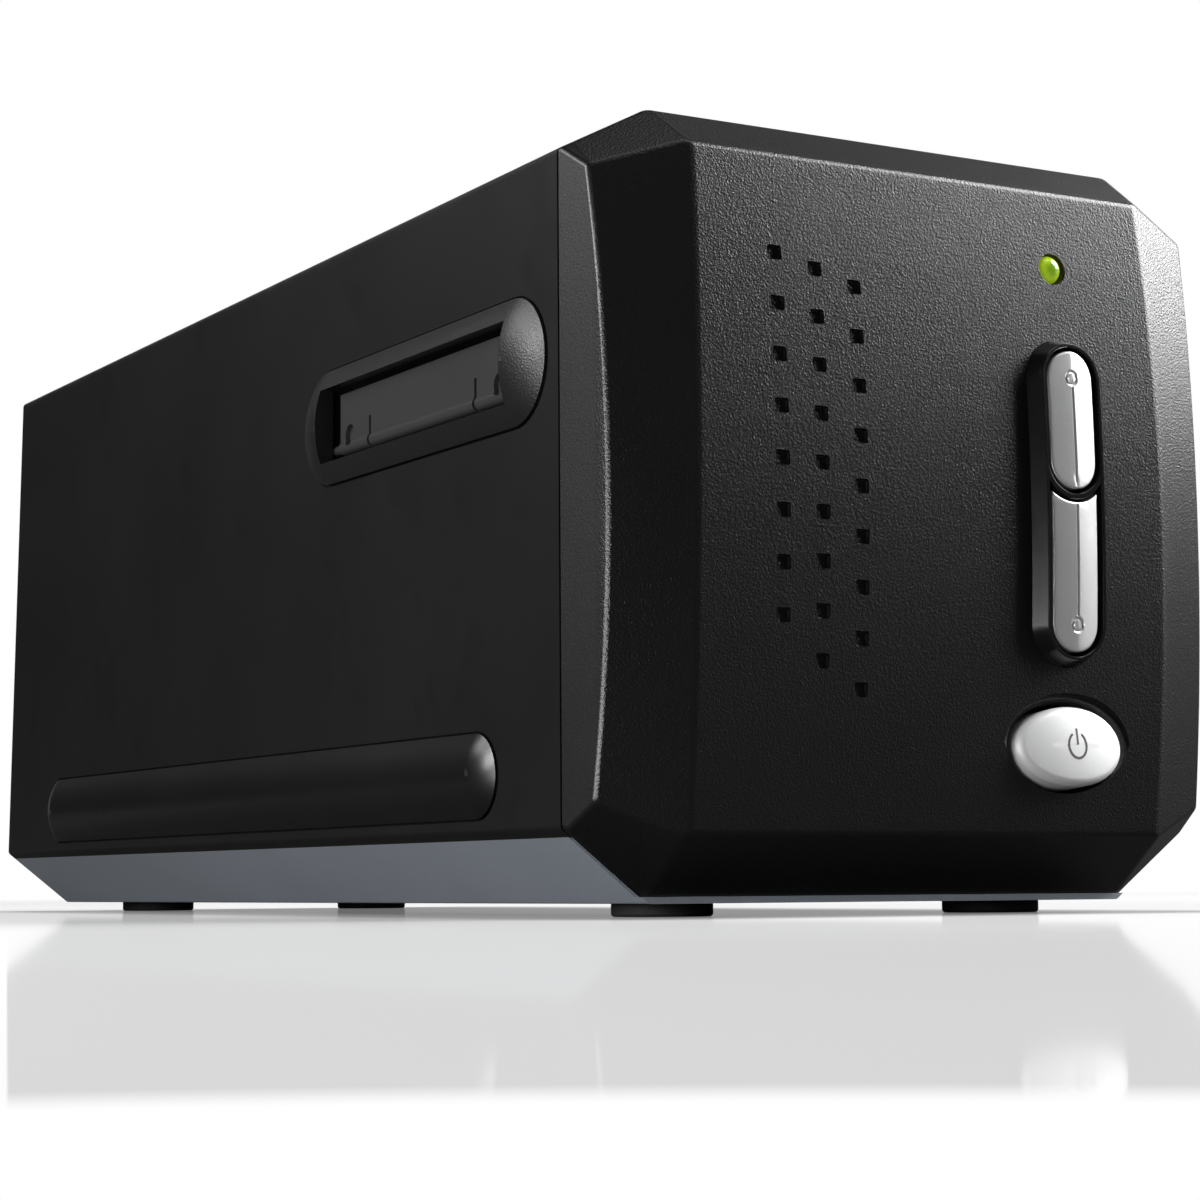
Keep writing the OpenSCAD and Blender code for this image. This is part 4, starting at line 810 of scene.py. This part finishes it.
def scan_button(name, shape, mark_z, crease_z):
    """A crowned plated button with a fine crease and a ring-shaped thumb mark."""
    levels = [(shape(inward), FRONT_Y - SCAN_PROUD + down) for inward, down in rounding(SCAN_ROUND)]
    piece = loft(name, (shape(0.0), FRONT_Y + RING_DEEP), *levels)
    top = (FRONT_Y - SCAN_PROUD) * MM + HAIR
    half = (0.3, 0.8, 1.3, 2, 2.7, 3.4)
    columns = [CONTROL_X + x for x in [-x for x in reversed(half)] + [0, *half]]
    rows = [SCAN_LOW_Z + 1.2 * i for i in range(1, 37)]

    def facing(face):
        return all(v.co.y < top for v in face.verts)

    open_up(piece)
    score(piece, columns, 0, facing)
    score(piece, rows, 2, facing)
    close_up()
    low, high = crease_z

    def crowned(x, y, z):
        off = x - CONTROL_X
        if y < FRONT_Y - SCAN_PROUD + 0.01 and abs(off) < 0.05 and low < z < high:
            y += CREASE_DEEP
        if y < FRONT_Y:
            y += (SCAN_PROUD - SCAN_EDGE) * (abs(off) / SCAN_HALF) ** 1.25
        return x, y, z

    reshape(piece, crowned)
    follow_bow(piece)
    mark = add("torus", "mark_tool", major_segments=40, minor_segments=16, major_radius=MARK_R * MM,
               minor_radius=MARK_GROOVE * MM, rotation=(math.radians(90), 0, 0),
               location=at(CONTROL_X, FRONT_Y + bow_at(mark_z) - SCAN_PROUD, mark_z))
    combine(piece, mark)
    return finish(piece, name, "button", name, angle=24)


def status_light():
    """A domed lens that looks out of its hole."""
    levels = [(circle(LENS_R), LENS_BACK - bow_at(LIGHT_Z))]
    for i in range(9):
        radius = LENS_R * math.cos(math.radians(10 * i))
        sag = LENS_DOME - math.sqrt(LENS_DOME ** 2 - radius ** 2)
        levels.append((circle(radius), sag - LENS_PROUD))
    piece = loft("status_lens", *levels)
    piece.data.transform(on_face(CONTROL_X, LIGHT_Z))
    return finish(piece, "housing", "light", "status_light", angle=40)


# ---------- Power button ----------
def on_dome(x, y, z):
    """Bends a flat front to the power button's dome."""
    return x, y + (x ** 2 + z ** 2) / (2 * POWER_R), z


def power_button():
    """An oval dome with a rounded shoulder."""
    levels = [(oval(), POWER_BACK)]
    levels += [(oval(inward), down - POWER_PROUD) for inward, down in rounding(POWER_ROUND, 7)]
    levels += [(oval(inward), -POWER_PROUD) for inward in (2.2, 3.2, 4.2, 5.2, 6.0)]
    piece = loft("power_cap", *levels)
    reshape(piece, on_dome)
    piece.data.transform(power_place())
    finish(piece, "power_button", "button", "power_button", angle=40)
    dress(piece, "cap")


def power_symbol():
    """A ring, open at its top, and a bar: the general sign for power."""
    band = arc(0, 0, SIGN_R + SIGN_LINE, 120, 420, 40) + arc(0, 0, SIGN_R - SIGN_LINE, 420, 120, 40)
    band = [(x * SIGN_SQUEEZE, z) for x, z in band]
    bar = [(-SIGN_LINE, SIGN_LOW), (SIGN_LINE, SIGN_LOW), (SIGN_LINE, SIGN_TOP), (-SIGN_LINE, SIGN_TOP)]
    back, front = 0.3 - POWER_PROUD, -POWER_PROUD - SIGN_RAISE
    piece = join([loft("power_symbol", (points, back), (points, front)) for points in (band, bar)])
    reshape(piece, on_dome)
    piece.data.transform(power_place())
    finish(piece, "power_button", "button")
    dress(piece, "symbol")


# ---------- Feet and screws ----------
def standing(piece):
    """Turns what was lofted along Y to stand along Z."""
    piece.data.transform(Matrix.Rotation(math.radians(90), 4, "X"))
    return piece


def feet():
    """Rubber discs with a rounded sole edge and a shallow dish."""
    dish = ((2.6, 0.35), (5.8, 0.35), (6.2, 0.05), (6.5, 0.0))
    levels = [(circle(radius), up) for radius, up in dish]
    levels += [(circle(FOOT_R - inward), up) for inward, up in reversed(rounding(SOLE_ROUND))]
    levels += [(circle(FOOT_R), FOOT_H - 0.15), (circle(FOOT_R - 0.15), FOOT_H)]
    first = standing(loft("foot", *levels))
    for node in ("front_left_foot", "front_right_foot", "rear_left_foot", "rear_right_foot"):
        low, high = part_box(node)
        place = Vector(((low.x + high.x) / 2, (low.y + high.y) / 2, 0.0)) / MM
        finish(copy_of(first, node + "_pad", place), "housing", "foot", node)
    bpy.data.objects.remove(first)


def screws():
    """Pan-head screws with a cross recess, seen from below."""
    low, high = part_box("base_screws")
    head = low.z / MM
    neck = head + SCREW_HEAD_H
    levels = [(circle(0.9), head)]
    levels += [(circle(SCREW_R - inward), head + up) for inward, up in reversed(rounding(0.5))]
    levels += [(circle(SCREW_R), neck), (circle(SCREW_SHANK_R), neck),
               (circle(SCREW_SHANK_R), high.z / MM)]
    first = standing(loft("screw", *levels))
    for turn in (CROSS_TURN, CROSS_TURN + 90):
        arm = add_block("cross_tool", (-CROSS_HALF_L, -CROSS_HALF_W, head - 1),
                        (CROSS_HALF_L, CROSS_HALF_W, head + CROSS_DEEP))
        arm.data.transform(Matrix.Rotation(math.radians(turn), 4, "Z"))
        combine(first, arm)
    made = [copy_of(first, "base_screw_set", (x, FRONT_Y + y, 0)) for x in SCREW_XS for y in SCREW_YS]
    bpy.data.objects.remove(first)
    finish(join(made), "housing", "rod", "base_screws")


front_panel()
button_ring()
scan_button("upper_scan_button", upper_outline, SCAN_TOP_Z - MARK_INSET,
            (SCAN_SPLIT_Z + CREASE_FROM_SPLIT, SCAN_TOP_Z - MARK_INSET - CREASE_FROM_MARK))
scan_button("lower_scan_button", lower_outline, SCAN_LOW_Z + MARK_INSET,
            (SCAN_LOW_Z + MARK_INSET + CREASE_FROM_MARK, SCAN_SPLIT_Z))
status_light()
power_button()
power_symbol()
feet()
screws()


# ---------- Camera, floor, lamps ----------
# The room's light on the object, and how bright its mirrored sides and front are
ROOM_LEVEL, ROOM_DARK, ROOM_FRONT = 0.08, 0.008, 0.02
# Where the floor fades to white: away from the object, and close to the camera
FLOOR_FADE, NEAR_FADE = (300.0, 1100.0), (59.0, 67.0)
# The contact shadow: the edges that it starts from, and its width
SHADOW_X, SHADOW_FRONT_Y, SHADOW_REAR_Y, SHADOW_W = 50.0, FRONT_Y + 4.0, 134.0, 24.0


def make_camera():
    """The photo's view: a perspective camera fitted to the photographed corners."""
    yaw, pitch, roll = (math.radians(turn) for turn in CAMERA_TURNS)
    ahead = Vector((math.sin(yaw) * math.cos(pitch), math.cos(yaw) * math.cos(pitch), math.sin(pitch)))
    right = Vector((math.cos(yaw), -math.sin(yaw), 0.0))
    up = right.cross(ahead)
    right_r = right * math.cos(roll) + up * math.sin(roll)
    up_r = up * math.cos(roll) - right * math.sin(roll)
    data = bpy.data.cameras.new("camera")
    data.sensor_width = SENSOR_W
    data.lens = FOCAL_PIXELS * SENSOR_W / PHOTO_PIXELS
    data.clip_start, data.clip_end = 0.001, 50
    camera = bpy.data.objects.new("camera", data)
    turn = Matrix((right_r, up_r, -ahead)).transposed()
    camera.matrix_world = Matrix.Translation(at(CAMERA_X, CAMERA_Y, CAMERA_Z)) @ turn.to_4x4()
    bpy.context.scene.collection.objects.link(camera)
    bpy.context.scene.camera = camera


def make_floor():
    """White floor that keeps the object's shadow and a soft reflection of it."""
    floor = add("plane", "floor", size=8.0)
    look = Look("floor_white")
    tree = look.tree
    x, y, z = look.axes()
    far = away_from(x, y).step(*FLOOR_FADE)
    # The floor right in front of the camera fades too
    far = far.most(1.0 - away_from(x - CAMERA_X, y - CAMERA_Y).step(*NEAR_FADE))
    seen = Value(look, look.node("LightPath").socket.node.outputs["Is Camera Ray"])
    look.set(Base_Color=look.blend(seen, tone(0.06), tone(0.62)), Roughness=0.9, Specular_IOR_Level=0.0)
    glow = tree.nodes.new("ShaderNodeEmission")
    glow.inputs["Color"].default_value = tone(1.0)
    sheen = tree.nodes.new("ShaderNodeBsdfGlossy")
    sheen.inputs["Roughness"].default_value = 0.05
    sheen.inputs["Color"].default_value = tone(1.0)
    output = next(n for n in tree.nodes if n.type == "OUTPUT_MATERIAL")

    def mixed(share, first, second):
        mix = tree.nodes.new("ShaderNodeMixShader")
        look.feed(mix.inputs[0], share)
        tree.links.new(first, mix.inputs[1])
        tree.links.new(second, mix.inputs[2])
        return mix.outputs[0]

    lit = mixed(seen * 0.4, look.shader.outputs[0], glow.outputs[0])
    mirrored = mixed(seen * 0.35, lit, sheen.outputs[0])
    faded = mixed(far * seen, mirrored, glow.outputs[0])
    # The soft contact shadow all round the base
    out_x = (abs(x) - SHADOW_X).most(0.0)
    out_y = (SHADOW_FRONT_Y - y).most(y - SHADOW_REAR_Y).most(0.0)
    contact = 1.0 - away_from(out_x, out_y).step(0.0, SHADOW_W)
    dark = tree.nodes.new("ShaderNodeEmission")
    dark.inputs["Color"].default_value = tone(0.0)
    grounded = mixed(contact * seen * 0.45, faded, dark.outputs[0])
    tree.links.new(grounded, output.inputs[0])
    floor.data.materials.append(look.material)


def make_world():
    """White to the camera; dark, with a pale backdrop, in what the object mirrors."""
    world = bpy.data.worlds.new("studio")
    bpy.context.scene.world = world
    world.use_nodes = True
    look = Look("studio", world.node_tree)
    ground = next(n for n in look.tree.nodes if n.type == "BACKGROUND")
    path = look.node("LightPath").socket.node
    seen = Value(look, path.outputs["Is Camera Ray"])
    through = Value(look, path.outputs["Is Transmission Ray"])
    mirrored = Value(look, path.outputs["Is Glossy Ray"])
    where = look.node("TexCoord", output=0)
    # The pale backdrop stands behind the object; metal and glass show it there
    facing = look.node("VectorMath", {"operation": "DOT_PRODUCT"},
                       {0: where, 1: (0.4925, 0.8643, 0.1)}, output=1)
    backdrop = facing.step(0.80, 0.95)
    front = look.node("VectorMath", {"operation": "DOT_PRODUCT"},
                      {0: where, 1: (0.7, -0.7, 0.1)}, output=1)
    room = front.step(-0.6, 1.0) * ROOM_FRONT + ROOM_DARK
    shown = (seen + through).clamp()
    glossy = mirrored * (1.0 - shown)
    plain = (1.0 - shown) * (1.0 - mirrored)
    strength = shown + glossy * (backdrop * 0.9 + room) + plain * ROOM_LEVEL
    ground.inputs["Color"].default_value = tone(1.0)
    look.feed(ground.inputs["Strength"], strength)


def lamp(name, turn, rise, far_off, width, height, radiance, aim=(0.0, -0.1, 0.06)):
    """A softbox: its direction in degrees right of the front and above the floor, and its radiance."""
    turn, rise = math.radians(turn), math.radians(rise)
    away = Vector((math.sin(turn) * math.cos(rise), -math.cos(turn) * math.cos(rise), math.sin(rise)))
    data = bpy.data.lights.new(name, "AREA")
    data.shape = "RECTANGLE"
    data.size = width
    data.size_y = height
    data.energy = radiance * math.pi * width * height
    made = bpy.data.objects.new(name, data)
    made.location = Vector(aim) + away * far_off
    made.rotation_euler = away.to_track_quat("Z", "Y").to_euler()
    made.visible_camera = False
    bpy.context.scene.collection.objects.link(made)


def make_stage():
    make_camera()
    make_floor()
    make_world()
    lamp("key_lamp", 75, 35, 1.2, 0.9, 0.8, 14.5)
    lamp("top_lamp", 20, 80, 1.1, 0.6, 0.7, 1.2)
    lamp("right_card", 68, 5, 1.2, 0.5, 0.3, 1.2)
    lamp("left_lamp", -100, 20, 1.2, 0.3, 0.45, 19.0)
    lamp("rear_lamp", -126, 33, 1.3, 0.7, 0.5, 4.6)
    lamp("low_lamp", -80, 5, 0.36, 0.3, 0.07, 18.0, aim=(-0.05, -0.17, 0.0))


make_stage()

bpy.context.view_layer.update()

scene = bpy.context.scene
scene.view_settings.view_transform = "Standard"
